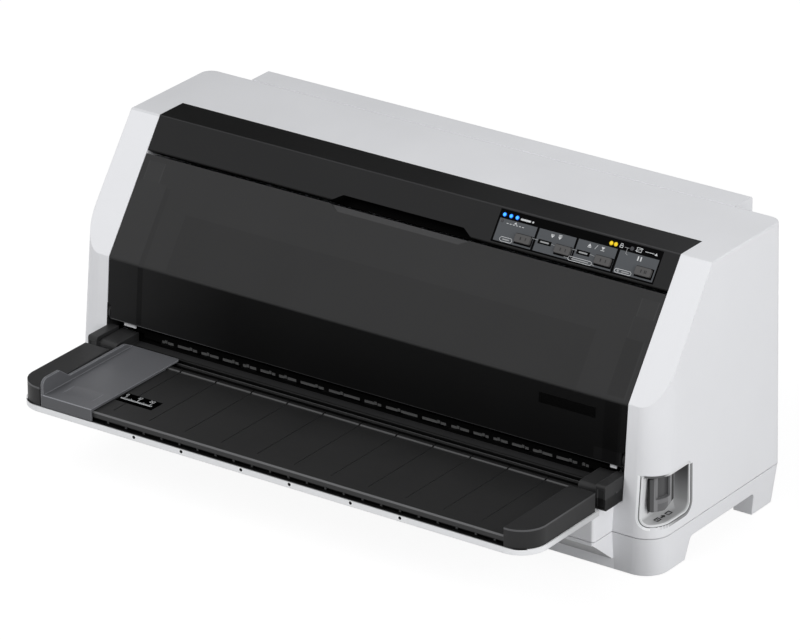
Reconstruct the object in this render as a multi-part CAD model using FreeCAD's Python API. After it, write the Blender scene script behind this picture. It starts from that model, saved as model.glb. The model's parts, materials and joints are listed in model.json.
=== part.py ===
import FreeCAD, Part
import math
import os
from FreeCAD import Vector

# A flatbed dot matrix printer, in millimetres.
# X runs to the printer's right, Y towards its back and Z up. While it is built, Y is
# measured from the front of the casing at its seam, and the whole model is then moved
# so that the origin lies under the middle of its box.

# Fits and small distances that several pieces share
OVERRUN = 20.0
RUN_FIT = 0.05
SEAT_GAP = 0.3
EDGE_GAP = 0.2
SWING_GAP = 0.5
EDGE_ROUND = 1.5

# Casing
WIDTH = 546.0
HEIGHT = 233.4
DEPTH = 180.5
SEAM_Z = 33.25
SEAM_GAP = 0.6
WALL = 2.8
FRONT_RADIUS = 20.0
REAR_RADIUS = 10.5
SIDE_DRAFT_SHARE = 0.0168
FRONT_LEAN_SHARE = 0.0788
REAR_LEAN_SHARE = 0.0124
BASE_TAPER_SHARE = 0.096
SLOPE_RISE = 96.7
SLOPE_FOOT_Z = HEIGHT - SLOPE_RISE
CREASE_Y = 77.3
BAND_REAR_Y = 107.0
TOWER_WIDE = 31.1
OPEN_HALF = WIDTH / 2 - TOWER_WIDE
TOWER_WALL_REAR_Y = 118.0
SHELF_Z = 59.2

# Lower front block, which carries the sheet table
BLOCK_INSET = 7.5
BLOCK_HALF = OPEN_HALF - BLOCK_INSET
BLOCK_REACH = 25.0
BLOCK_REAR_Y = 10.0
BLOCK_RADIUS = 3.0
BLOCK_FOOT_FRONT_Z = 30.2
BLOCK_FOOT_REAR_Z = 10.6

# Base and its feet
FOOT_Z = 1.0
UNDERSIDE_Z = 19.7
FLOOR_THICK = 2.5
FOOT_WIDE = 18.0
SKIRT_REAR_Y = 7.0
FOOT_FRONT_END_Y = 46.0
FOOT_FRONT_TOP_Y = 51.6
FOOT_REAR_LONG = 39.2
FOOT_REAR_START_Y = DEPTH - FOOT_REAR_LONG
FOOT_NOTCH_RADIUS = 4.0
FOOT_HOLLOW_Z = 4.0
LIP_WIDE = 1.2
LIP_RISE = 3.0
PAD_RADIUS = 6.5
PAD_RECESS = 1.0
PAD_FRONT_Y = 26.0
PAD_REAR_INSET = 20.5
PAD_REAR_Y = DEPTH - PAD_REAR_INSET
BOSS_RADIUS = 3.2

# Rear of the casing: paper slot, rear cover and sockets
REAR_SLOT_INSET = 19.9
REAR_SLOT_HALF = OPEN_HALF - REAR_SLOT_INSET
REAR_SLOT_LOW_Z = 65.0
REAR_SLOT_HIGH_Z = 90.0
REAR_COVER_INSET = 15.5
REAR_COVER_HALF = OPEN_HALF - REAR_COVER_INSET
REAR_COVER_REACH = 22.3
REAR_COVER_BACK_Y = DEPTH + REAR_COVER_REACH
REAR_COVER_LOW_Z = 97.0
REAR_COVER_KNEE_Z = 112.0
REAR_COVER_WALL = 2.4
REAR_COVER_RADIUS = 3.0
REAR_HOLE_INSET = 8.0
SOCKET_LOW_Z = 37.0
INLET_INSET = 37.9
INLET_X = -OPEN_HALF + INLET_INSET
INLET_WIDE = 27.0
INLET_HIGH = 20.0
SWITCH_SPACING = 34.0
SWITCH_X = INLET_X + SWITCH_SPACING
SWITCH_WIDE = 21.0
SWITCH_HIGH = 15.0
PORT_INSET = 151.9
PORT_X = OPEN_HALF - PORT_INSET
PORT_WIDE = 62.0
PORT_HIGH = 14.0
USB_SPACING = 60.0
USB_X = PORT_X + USB_SPACING
USB_WIDE = 13.0
USB_HIGH = 12.0
SOCKET_PROUD = 0.8
SOCKET_DEEP = 22.0
SOCKET_FRAME = 2.0
SOCKET_MOUTH_DEEP = 12.0
CONTACT_SIZE = 1.6
ROCKER_RADIUS = 8.5
ROCKER_THICK = 9.0
ROCKER_ROOM = 1.3
ROCKER_PIN_RADIUS = 1.2

# Front band with its finger recess, and the smoked cover below it
BAND_THICK = 2.8
BAND_FOOT_SHARE = 0.7515
BAND_LIP_DEEP = 9.0
BAND_LIP_THICK = 2.2
COVER_GAP = 2.8
COVER_THICK = 2.5
COVER_FOOT_Z = 86.0
COVER_LIP_DEEP = 8.0
COVER_STEP_Z = 97.0
COVER_STEP = 3.0
NOTCH_SHARE = 0.2687
NOTCH_TOP_HALF = OPEN_HALF * NOTCH_SHARE
NOTCH_SIDE_RUN = 9.0
NOTCH_LOW_HALF = NOTCH_TOP_HALF - NOTCH_SIDE_RUN
NOTCH_DEEP = 5.0
NOTCH_EDGE_LEFT = 0.3
RECESS_RISE = 6.0
RECESS_DEEP = 11.0
RECESS_WALL = 1.8
PIVOT_Y = 14.0
PIVOT_Z = 90.0
PIVOT_PIN_RADIUS = 3.0
ARM_RADIUS = 6.6
ARM_THICK = 3.0

# Control panel
PANEL_INSET = 14.3
PANEL_WIDE = 145.6
PANEL_RIGHT_X = OPEN_HALF - PANEL_INSET
PANEL_LEFT_X = PANEL_RIGHT_X - PANEL_WIDE
PANEL_LOW_S = 91.3
PANEL_HIGH_S = 117.2
PANEL_THICK = 1.2
PANEL_PROUD = 0.1
BUTTON_INSET = 27.0
BUTTON_FIRST_X = PANEL_LEFT_X + BUTTON_INSET
BUTTON_PITCH = 36.0
BUTTON_COUNT = 4
BUTTON_S = 98.4
BUTTON_WIDE = 14.0
BUTTON_TALL = 6.6
BUTTON_RADIUS = 1.2
BUTTON_PROUD = 1.8
BUTTON_TRAVEL = 0.8
BUTTON_FLANGE = 1.0
BUTTON_STEM_RADIUS = 1.8
LIGHT_S = 113.3
LIGHT_RADIUS = 1.7
LIGHT_INSETS = (4.3, 10.2, 15.8, 100.4, 104.4, 118.9)
LIGHT_X = tuple(PANEL_LEFT_X + inset for inset in LIGHT_INSETS)
CELL_LIGHT_S = 108.2
CELL_LIGHT_X = (LIGHT_X[0],)
BOARD_DEPTH = 13.0
BOARD_THICK = 1.6
BOARD_MARGIN = 3.0
RIB_LEFT_INSET = 0.2
RIB_RIGHT_INSET = 1.0
RIB_LEFT_X = PANEL_LEFT_X + RIB_LEFT_INSET
RIB_RIGHT_X = PANEL_RIGHT_X - RIB_RIGHT_INSET
TACT_SIZE = 6.0

# Sheet table
PAPER_Z = 70.0
TRAY_SIDE_GAP = 2.9
TRAY_HALF = OPEN_HALF - TRAY_SIDE_GAP
TRAY_FRONT_Y = -118.0
TRAY_LOW_Z = 57.5
TRAY_HIGH_Z = 61.9
TRAY_WALL = 2.4
TRAY_LEDGE_DEEP = 6.0
TRAY_CORNER = 23.0
TABLE_REAR_GAP = 4.0
TABLE_REAR_Y = -BLOCK_REACH - TABLE_REAR_GAP
BLOCK_TOP_Z = 77.6
END_SETBACK = 1.0
END_WIDE = 23.0
END_HALF = TRAY_HALF - END_SETBACK
END_INNER_X = END_HALF - END_WIDE
END_FRONT_Y = -116.5
END_CORNER = 21.5
END_WALL = 2.5
PLATE_FRONT_Y = -115.0
PLATE_REAR_Y = -14.0
PLATE_STEP_Y = -20.2
PLATE_STEP_RUN = 2.0
PLATE_STEP_RISE = 0.9
PLATE_THICK = 3.4
PLATE_LIP_LOW_Z = 65.4
PLATE_LIP_WIDE = 3.0
GROOVE_SHARE = 0.15814
GROOVE_PITCH = END_INNER_X * GROOVE_SHARE
GROOVE_COUNT = 12
GROOVE_WIDE = 0.8
GROOVE_DEEP = 0.5
GROOVE_FRONT_Y = -104.0
RIB_PITCH = GROOVE_PITCH / 2
RIB_COUNT = 25
RIB_WIDE = 1.6
RIB_SETBACK = 3.4
SLOT_WALL_SETBACK = 5.0
SLOT_WALL_THICK = 1.6
RIM_HOLE_RADIUS = 1.1
RIM_HOLE_SHARES = (0.0941, 0.3289, 0.5167)
RIM_HOLE_RISE = 2.9
RIM_HOLE_DEEP = 1.4
HOOK_INSET = 65.0
HOOK_X = END_INNER_X - HOOK_INSET
HOOK_WIDE = 22.0
HOOK_LOW_Z = 50.0
HOOK_THICK = 2.4
HOOK_REACH = 7.0

# Edge guide, which slides across the table
GUIDE_END_GAP = 1.7
GUIDE_WALL_X = -END_INNER_X + GUIDE_END_GAP
GUIDE_WALL_THICK = 2.4
GUIDE_WIDE = 48.3
GUIDE_RIGHT_X = GUIDE_WALL_X + GUIDE_WIDE
GUIDE_FRONT_Y = -117.4
GUIDE_REAR_Y = -3.4
GUIDE_TOP_Z = 72.4
GUIDE_LIFT = 0.3
GUIDE_TAIL_Y = -22.0
GUIDE_REAR_FALL = 9.0
GUIDE_SCOOP_Y = -97.0
GUIDE_SCOOP_RADIUS = 60.0
GUIDE_SCOOP_DEEP = 0.6
GUIDE_SCOOP_MARGIN = 9.0
GUIDE_WALL_TOP_Z = 76.8
GUIDE_LUG_TOP_Z = 85.5
GUIDE_LUG_REAR_Y = -96.0
GUIDE_LUG_FOOT_Y = -84.0
GUIDE_LUG_RADIUS = 6.0
GUIDE_CORNER = 3.0
GUIDE_APRON_LOW_Z = 62.7
GUIDE_APRON_THICK = 1.9
GUIDE_HOLLOW = 1.0
LABEL_GAP = 1.0
LABEL_WIDE = 34.5
LABEL_LEFT_X = GUIDE_RIGHT_X + LABEL_GAP
LABEL_RIGHT_X = LABEL_LEFT_X + LABEL_WIDE
LABEL_FRONT_Y = -88.0
LABEL_REAR_Y = -72.5
LABEL_THICK = 0.15

# Black front frame with its slot lip and end brackets
LIP_FRONT_Y = 0.6
LIP_REAR_Y = 11.0
LIP_LOW_Z = 62.0
LIP_RADIUS = 0.8
RIDGE_FRONT_Y = -7.8
RIDGE_WIDE = 3.4
RIDGE_TOP_Z = 69.7
BRACKET_WIDE = 8.6
BRACKET_HALF = OPEN_HALF - SEAT_GAP
BRACKET_INNER_X = BRACKET_HALF - BRACKET_WIDE
BRACKET_SETBACK = 4.0
BRACKET_FRONT_Y = -BLOCK_REACH + BRACKET_SETBACK
BRACKET_REAR_Y = 7.5
BRACKET_LOW_Z = 59.6
BRACKET_TOP_Z = 80.0
SHELF_WIDE = 17.0
SHELF_INNER_X = BRACKET_INNER_X - SHELF_WIDE
SHELF_SETBACK = 6.0
SHELF_FRONT_Y = -BLOCK_REACH + SHELF_SETBACK
SHELF_TOP_Z = 77.2
SHELF_RADIUS = 4.0
FRAME_BASE_HIGH_Z = 62.4
FRAME_BASE_FRONT_Y = -17.5
BRACKET_BORDER = 1.6
BRACKET_INSET = 0.8
BRACKET_GROOVE = 0.8
BRACKET_ROUND = 2.0

# Release lever and its pocket on the right front corner
POCKET_DEEP = 16.4
POCKET_LEFT_X = WIDTH / 2 - POCKET_DEEP
POCKET_REAR_Y = 48.3
POCKET_LOW_Z = 43.0
POCKET_HIGH_Z = 83.3
POCKET_WALL = 1.5
POCKET_RADIUS = 8.0
POCKET_TOP_RADIUS = 3.0
LEVER_Y = 18.0
LEVER_Z = 38.0
LEVER_PIN_RADIUS = 3.0
LEVER_HUB_RADIUS = 6.5
LEVER_PLATE_ROOM = 7.6
LEVER_PLATE_X = OPEN_HALF + LEVER_PLATE_ROOM
LEVER_PLATE_THICK = 3.0
LEVER_SHUTTER_RADIUS = 46.0
LEVER_SHUTTER_FRONT_DEG = 11.0
LEVER_SHUTTER_REAR_DEG = 37.0
GRIP_SETBACK = 3.6
GRIP_WIDE = 9.0
GRIP_OUTER_X = WIDTH / 2 - GRIP_SETBACK
GRIP_INNER_X = GRIP_OUTER_X - GRIP_WIDE
GRIP_HALF_Y = 12.0
GRIP_LOW_Z = 53.5
GRIP_REAR_LOW_Z = 58.5
GRIP_FOOT_RADIUS = 4.0
GRIP_HIGH_Z = 79.6
GRIP_INSET = 3.2
GRIP_HOLLOW_FRONT_Y = 11.5
GRIP_HOLLOW_REAR_Y = 25.0
GRIP_HOLLOW_LOW_Z = 63.0
GRIP_HOLLOW_DEEP = 3.0
NECK_HALF_Y = 5.0
NECK_LOW_Z = 56.0
NECK_HIGH_Z = 76.0
SLOT_FRONT_Y = 11.5
SLOT_REAR_Y = 43.0
SLOT_LOW_Z = 50.0
SLOT_HIGH_Z = 78.5

# Steel side frames
FRAME_INSET = 11.9
FRAME_INNER_X = OPEN_HALF - FRAME_INSET
FRAME_THICK = 2.0
FRAME_FRONT_Y = 13.0
FRAME_REAR_ROOM = 14.5
FRAME_REAR_Y = DEPTH - FRAME_REAR_ROOM
FRAME_TOP_Z = 168.0
FRAME_OUTLINE = ((20.0, 79.0), (29.0, 82.0), (29.0, 101.0), (18.0, 108.0), (18.0, 133.0))
FRAME_CHIN_Z = 74.0
FRAME_SHOULDER_Y = 47.0
FRAME_SHOULDER_RUN = 16.0
FRAME_REAR_SHOULDER_Y = FRAME_REAR_Y - FRAME_SHOULDER_RUN
FRAME_REAR_SHOULDER_Z = 148.0
FRAME_TAB_REACH = 9.0
FRAME_TAB_WIDE = 26.0
FRAME_TAB_INSETS = (27.0, 26.0)
FRAME_TAB_Y = (FRAME_FRONT_Y + FRAME_TAB_INSETS[0], FRAME_REAR_Y - FRAME_TAB_INSETS[1])
SCREW_RADIUS = 3.0
SCREW_HEAD_HIGH = 2.0

# Paper feed
FEED_FRONT_Y = 24.0
FEED_REAR_Y = 96.0
FEED_ROLLER_RADIUS = 7.0
FEED_SHAFT_RADIUS = 4.0
FEED_ROLLER_LONG = 16.0
FEED_ROLLER_COUNT = 11
PINCH_ROLLER_RADIUS = 4.0
PINCH_AXLE_RADIUS = 1.5
PINCH_ROLLER_LONG = 13.0
PINCH_ROLLER_COUNT = 22
PLATEN_END_ROOM = 14.0
PLATEN_HALF = FRAME_INNER_X - PLATEN_END_ROOM
ROLLER_SHARE = 0.08935
ROLLER_PITCH = PLATEN_HALF * ROLLER_SHARE
NIP_GAP = 0.3
ROLLER_SLOT_HALF = 8.0
GUIDE_PLATE_TOP_Z = 69.6
GUIDE_PLATE_THICK = 2.0
GUIDE_PLATE_REAR_ROOM = 6.5
GUIDE_PLATE_REAR_Y = DEPTH - GUIDE_PLATE_REAR_ROOM
PLATEN_Y = 60.0
PLATEN_WIDE = 16.0
PLATEN_TOP_Z = 69.8
PLATEN_LOW_Z = 57.0

# Feed gears on the right side frame
GEAR_MODULE = 1.0
GEAR_ROOM = 5.0
GEAR_X = FRAME_INNER_X + GEAR_ROOM
GEAR_WIDE = 5.0
FEED_TEETH = 30
IDLER_TEETH = 42
PINION_TEETH = 12
PRESSURE_DEG = 20.0
BACKLASH = 0.3
ADDENDUM_SHARE = 0.8
DEDENDUM_SHARE = 1.15
IDLER_PIN_RADIUS = 3.0
MOTOR_SHAFT_RADIUS = 2.5
FEED_MOTOR_RADIUS = 13.0
FEED_MOTOR_LONG = 36.0
MOTOR_BORE_DEEP = 8.0

# Carriage, print head and ribbon
CARRIAGE_REST_ROOM = 73.9
CARRIAGE_REST_X = -OPEN_HALF + CARRIAGE_REST_ROOM
CARRIAGE_HALF = 26.0
CARRIAGE_SHAFT_Y = 106.0
CARRIAGE_SHAFT_Z = 112.0
CARRIAGE_SHAFT_RADIUS = 6.0
CARRIAGE_SHAFT_PROUD = 3.0
CARRIAGE_SHAFT_END_X = FRAME_INNER_X + CARRIAGE_SHAFT_PROUD
CARRIAGE_BLOCK_HALF = 12.0
CARRIAGE_DECK_LOW_Z = 80.0
CARRIAGE_DECK_TOP_Z = 86.0
CARRIAGE_DECK_FRONT_Y = 38.0
CARRIAGE_RISER_Y = 92.0
CARRIAGE_RISER_THICK = 8.0
CARRIAGE_ROOF_THICK = 3.5
CARRIAGE_ROOF_FRONT_Y = 65.0
HEAD_Y = 60.0
HEAD_RADIUS = 21.0
HEAD_NECK_RADIUS = 16.0
HEAD_TOP_Z = 122.0
HEAD_FIN_COUNT = 5
HEAD_FIN_THICK = 2.6
HEAD_NOSE_RADIUS = 11.0
HEAD_TIP_RADIUS = 5.0
HEAD_TIP_Z = 72.3
RAIL_Y = 70.0
RAIL_THICK = 2.0
RAIL_LOW_Z = 132.0
RAIL_TOP_Z = 150.0
RAIL_FLANGE_WIDE = 18.0
PRONG_THICK = 3.2
PRONG_TOP_Z = 140.0
CARTRIDGE_END_ROOM = 34.0
CARTRIDGE_HALF = FRAME_INNER_X - CARTRIDGE_END_ROOM
CARTRIDGE_FRONT_Y = 15.5
CARTRIDGE_REAR_Y = 34.0
CARTRIDGE_LOW_Z = 103.0
CARTRIDGE_TOP_Z = 136.0
CARTRIDGE_RADIUS = 3.0
CARTRIDGE_ARM_PROUD = 6.0
CARTRIDGE_ARM_X = CARTRIDGE_HALF + CARTRIDGE_ARM_PROUD
CARTRIDGE_ARM_THICK = 8.0
CARTRIDGE_ARM_LOW_Z = 71.0
CARTRIDGE_TAB_LOW_Z = 125.0
CARTRIDGE_TAB_THICK = 6.0
RIBBON_HALF_Y = 6.3
RIBBON_LOW_Z = 71.6
RIBBON_THICK = 0.3
KNOB_INSET = 46.0
KNOB_X = -CARTRIDGE_HALF + KNOB_INSET
KNOB_Y = 26.0
KNOB_RADIUS = 7.0
KNOB_HIGH = 5.4
KNOB_STEM_RADIUS = 2.0
KNOB_STEM_LONG = 5.0
KNOB_RIB_COUNT = 12
KNOB_RIB_RADIUS = 0.8

# Carriage drive
PULLEY_INSET = 25.0
PULLEY_X = FRAME_INNER_X - PULLEY_INSET
PULLEY_RADIUS = 7.0
PULLEY_FLANGE_RADIUS = 9.3
PULLEY_FLANGE_THICK = 1.2
BELT_THICK = 1.4
BELT_WIDE = 6.0
BELT_LOW_Z = 104.0
BELT_FRONT_Y = 124.0
STAY_LOW_Z = 113.0
STAY_THICK = 2.0
STAY_FRONT_Y = 121.0
STAY_REAR_ROOM = 2.0
STAY_REAR_Y = FRAME_REAR_Y - STAY_REAR_ROOM
CARRIAGE_MOTOR_RADIUS = 17.0
CARRIAGE_MOTOR_HIGH = 35.0
CLAMP_HALF = 9.0
CLAMP_JAW = 2.2

# Electronics
BOARD_REAR_ROOM = 18.5
MAIN_BOARD_DEEP = 54.0
SUPPLY_DEEP = 48.0
SUPPLY_WIDE = 112.0
SUPPLY_INSET = 19.9
BOARD_SPACING = 15.0
MAIN_BOARD_INSET = 81.9
BOARD_FRONT_Y = DEPTH - BOARD_REAR_ROOM - MAIN_BOARD_DEEP
SUPPLY_LEFT_X = -OPEN_HALF + SUPPLY_INSET
SUPPLY_X = (SUPPLY_LEFT_X, SUPPLY_LEFT_X + SUPPLY_WIDE)
SUPPLY_Y = (BOARD_FRONT_Y, BOARD_FRONT_Y + SUPPLY_DEEP)
MAIN_BOARD_X = (SUPPLY_LEFT_X + SUPPLY_WIDE + BOARD_SPACING, OPEN_HALF - MAIN_BOARD_INSET)
MAIN_BOARD_Y = (BOARD_FRONT_Y, BOARD_FRONT_Y + MAIN_BOARD_DEEP)
BOARD_LIFT = 4.0
CHIP_HIGH = 3.0
CHIP_SIZE = 16.0
HEATSINK_HIGH = 22.0
HEATSINK_WIDE = 10.0
TRANSFORMER_SIZE = 34.0
TRANSFORMER_HIGH = 26.0
CAPACITOR_RADIUS = 9.0
CAPACITOR_HIGH = 27.0

# Values worked out from the sizes above
CENTRE_Y = (TRAY_FRONT_Y + REAR_COVER_BACK_Y) / 2
SLOPE_FOOT_Y = FRONT_LEAN_SHARE * (SLOPE_FOOT_Z - SEAM_Z)
SLOPE_LONG = math.hypot(CREASE_Y - SLOPE_FOOT_Y, HEIGHT - SLOPE_FOOT_Z)
SLOPE_DEG = math.degrees(math.atan2(HEIGHT - SLOPE_FOOT_Z, CREASE_Y - SLOPE_FOOT_Y))
BAND_FOOT_S = SLOPE_LONG * BAND_FOOT_SHARE
COVER_TOP_S = BAND_FOOT_S - COVER_GAP
COVER_HALF = OPEN_HALF - SWING_GAP
BAND_HALF = OPEN_HALF - EDGE_GAP
HOUSING_LOW_Z = SEAM_Z + SEAM_GAP / 2
BASE_TOP_Z = SEAM_Z - SEAM_GAP / 2
FLOOR_Z = UNDERSIDE_Z + FLOOR_THICK
FEED_Z = PLATEN_TOP_Z - FEED_ROLLER_RADIUS
PINCH_Z = PLATEN_TOP_Z + NIP_GAP + PINCH_ROLLER_RADIUS
FRAME_OUTER_X = FRAME_INNER_X + FRAME_THICK
IDLER_Y = (FEED_FRONT_Y + FEED_REAR_Y) / 2
PINION_Z = FEED_Z - GEAR_MODULE * (IDLER_TEETH + PINION_TEETH) / 2
PULLEY_Y = BELT_FRONT_Y + BELT_THICK + SEAT_GAP + PULLEY_RADIUS
STAY_TOP_Z = STAY_LOW_Z + STAY_THICK


def box(x0, x1, y0, y1, z0, z1):
    return Part.makeBox(x1 - x0, y1 - y0, z1 - z0, Vector(x0, y0, z0))


def rod_x(y, z, radius, x0, x1):
    return Part.makeCylinder(radius, x1 - x0, Vector(x0, y, z), Vector(1, 0, 0))


def rod_y(x, z, radius, y0, y1):
    return Part.makeCylinder(radius, y1 - y0, Vector(x, y0, z), Vector(0, 1, 0))


def rod_z(x, y, radius, z0, z1):
    return Part.makeCylinder(radius, z1 - z0, Vector(x, y, z0), Vector(0, 0, 1))


def join(shapes):
    shapes = list(shapes)
    if len(shapes) == 1:
        return shapes[0]
    return shapes[0].multiFuse(shapes[1:]).removeSplitter()


def mirrored(shape):
    return shape.mirror(Vector(0, 0, 0), Vector(1, 0, 0))


def both_sides(shape):
    return [shape, mirrored(shape)]


def rounded_wire(points, radii, place):
    """A closed outline through the points, each corner rounded by its own radius."""
    count = len(points)
    starts = []
    ends = []
    mids = []
    for i, (a, b) in enumerate(points):
        before = points[i - 1]
        after = points[(i + 1) % count]
        ua = math.hypot(before[0] - a, before[1] - b)
        ub = math.hypot(after[0] - a, after[1] - b)
        to_before = ((before[0] - a) / ua, (before[1] - b) / ua)
        to_after = ((after[0] - a) / ub, (after[1] - b) / ub)
        if not radii[i]:
            starts.append((a, b))
            ends.append((a, b))
            mids.append(None)
            continue
        cosine = to_before[0] * to_after[0] + to_before[1] * to_after[1]
        half = math.acos(max(-1, min(1, cosine))) / 2
        back = radii[i] / math.tan(half)
        reach = radii[i] / math.sin(half) - radii[i]
        bis = (to_before[0] + to_after[0], to_before[1] + to_after[1])
        bis_long = math.hypot(bis[0], bis[1])
        starts.append((a + to_before[0] * back, b + to_before[1] * back))
        ends.append((a + to_after[0] * back, b + to_after[1] * back))
        mids.append((a + bis[0] / bis_long * reach, b + bis[1] / bis_long * reach))
    edges = []
    for i in range(count):
        if mids[i]:
            edges.append(Part.Arc(place(*starts[i]), place(*mids[i]), place(*ends[i])).toShape())
        follow = starts[(i + 1) % count]
        edges.append(Part.makeLine(place(*ends[i]), place(*follow)))
    return Part.Wire(edges)


def prism(axis, low, high, points, radii=None):
    """An outline in the plane across the axis, drawn out from low to high."""
    if radii is None:
        radii = [0] * len(points)
    if axis == "x":
        wire = rounded_wire(points, radii, lambda a, b: Vector(low, a, b))
        return Part.Face(wire).extrude(Vector(high - low, 0, 0))
    if axis == "y":
        wire = rounded_wire(points, radii, lambda a, b: Vector(a, low, b))
        return Part.Face(wire).extrude(Vector(0, high - low, 0))
    wire = rounded_wire(points, radii, lambda a, b: Vector(a, b, low))
    return Part.Face(wire).extrude(Vector(0, 0, high - low))


def rectangle(a0, a1, b0, b1):
    return [(a0, b0), (a1, b0), (a1, b1), (a0, b1)]


# The casing's drafted walls
def casing_half(z):
    if z >= SEAM_Z:
        return WIDTH / 2 - SIDE_DRAFT_SHARE * (z - SEAM_Z)
    return WIDTH / 2 - BASE_TAPER_SHARE * (SEAM_Z - z)


def casing_front(z):
    if z >= SEAM_Z:
        return FRONT_LEAN_SHARE * (z - SEAM_Z)
    return BASE_TAPER_SHARE * (SEAM_Z - z)


def casing_rear(z):
    if z >= SEAM_Z:
        return DEPTH - REAR_LEAN_SHARE * (z - SEAM_Z)
    return DEPTH - BASE_TAPER_SHARE * (SEAM_Z - z)


def casing_wire(z, inset):
    half = casing_half(z) - inset
    points = rectangle(-half, half, casing_front(z) + inset, casing_rear(z) - inset)
    radii = [FRONT_RADIUS - inset] * 2 + [REAR_RADIUS - inset] * 2
    return rounded_wire(points, radii, lambda a, b: Vector(a, b, z))


def casing_body(low, high, inset):
    return Part.makeLoft([casing_wire(low, inset), casing_wire(high, inset)], True, True)


def slope_line(depth):
    """Where the slope, sunk by a depth, starts on the lower face and meets the top."""
    lean = math.atan(FRONT_LEAN_SHARE)
    angle = math.radians(SLOPE_DEG)
    across = (math.sin(angle), -math.cos(angle))
    foot_a = (SLOPE_FOOT_Y + depth * math.cos(lean), SLOPE_FOOT_Z - depth * math.sin(lean))
    foot_b = (SLOPE_FOOT_Y + depth * across[0], SLOPE_FOOT_Z + depth * across[1])
    lower = (math.sin(lean), math.cos(lean))
    upper = (math.cos(angle), math.sin(angle))
    cross = lower[0] * upper[1] - lower[1] * upper[0]
    gap = (foot_b[0] - foot_a[0], foot_b[1] - foot_a[1])
    along = (gap[0] * upper[1] - gap[1] * upper[0]) / cross
    foot = (foot_a[0] + lower[0] * along, foot_a[1] + lower[1] * along)
    top_z = HEIGHT - depth
    top = (foot[0] + (top_z - foot[1]) / math.tan(angle), top_z)
    return foot, top


def slope_cutter(depth):
    """Everything in front of the slope, sunk by a depth."""
    foot, top = slope_line(depth)
    slant = (top[0] - foot[0]) / (top[1] - foot[1])
    above = (top[0] + slant * OVERRUN, top[1] + OVERRUN)
    below = (foot[0] - slant * OVERRUN * 4, foot[1] - OVERRUN * 4)
    points = [below, above, (below[0] - OVERRUN, above[1])]
    return prism("x", -WIDTH, WIDTH, points)


def front_point(s, depth):
    """A point of the front, s along it from the slope's foot, at a depth behind it."""
    if s >= 0:
        angle = math.radians(SLOPE_DEG)
    else:
        angle = math.pi / 2 - math.atan(FRONT_LEAN_SHARE)
    y = SLOPE_FOOT_Y + s * math.cos(angle) + depth * math.sin(angle)
    z = SLOPE_FOOT_Z + s * math.sin(angle) - depth * math.cos(angle)
    return (y, z)


def on_slope(shape):
    """Lay a piece drawn flat (Y up the slope, Z out of it) onto the slope."""
    shape.rotate(Vector(0, 0, 0), Vector(1, 0, 0), SLOPE_DEG)
    shape.translate(Vector(0, SLOPE_FOOT_Y, SLOPE_FOOT_Z))
    return shape


def flat_prism(points, radii, low, high):
    return prism("z", low, high, points, radii)


def pocket_solid(inset, out):
    """The lever pocket's rounded outline wrapped round the casing's corner."""
    left = POCKET_LEFT_X + inset
    rear = POCKET_REAR_Y - inset
    low = POCKET_LOW_Z + inset
    high = POCKET_HIGH_Z - inset
    radius = POCKET_RADIUS - inset
    top_radius = POCKET_TOP_RADIUS - inset
    front = prism("y", -out, POCKET_REAR_Y + out,
                  rectangle(left, WIDTH / 2 + out, low, high), [radius, 0, 0, top_radius])
    side = prism("x", POCKET_LEFT_X - out, WIDTH / 2 + out,
                 rectangle(-out, rear, low, high), [0, radius, top_radius, 0])
    return front.common(side)


def front_block(inset, low_cut):
    """The lower front block, down to its slanting underside."""
    half = BLOCK_HALF - inset
    front = -BLOCK_REACH + inset
    points = [(-half, BLOCK_REAR_Y), (-half, front), (half, front), (half, BLOCK_REAR_Y)]
    radius = BLOCK_RADIUS
    body = prism("z", BLOCK_FOOT_REAR_Z - OVERRUN, SHELF_Z - inset, points, [0, radius, radius, 0])
    rise = (BLOCK_FOOT_FRONT_Z - BLOCK_FOOT_REAR_Z) / BLOCK_REACH
    front_z = BLOCK_FOOT_FRONT_Z + inset + rise * OVERRUN
    rear_z = BLOCK_FOOT_REAR_Z + inset
    cutter = [(-BLOCK_REACH - OVERRUN, front_z), (0, rear_z), (BLOCK_REAR_Y + OVERRUN, rear_z),
              (BLOCK_REAR_Y + OVERRUN, low_cut), (-BLOCK_REACH - OVERRUN, low_cut)]
    return body.cut(prism("x", -WIDTH, WIDTH, cutter))


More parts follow.
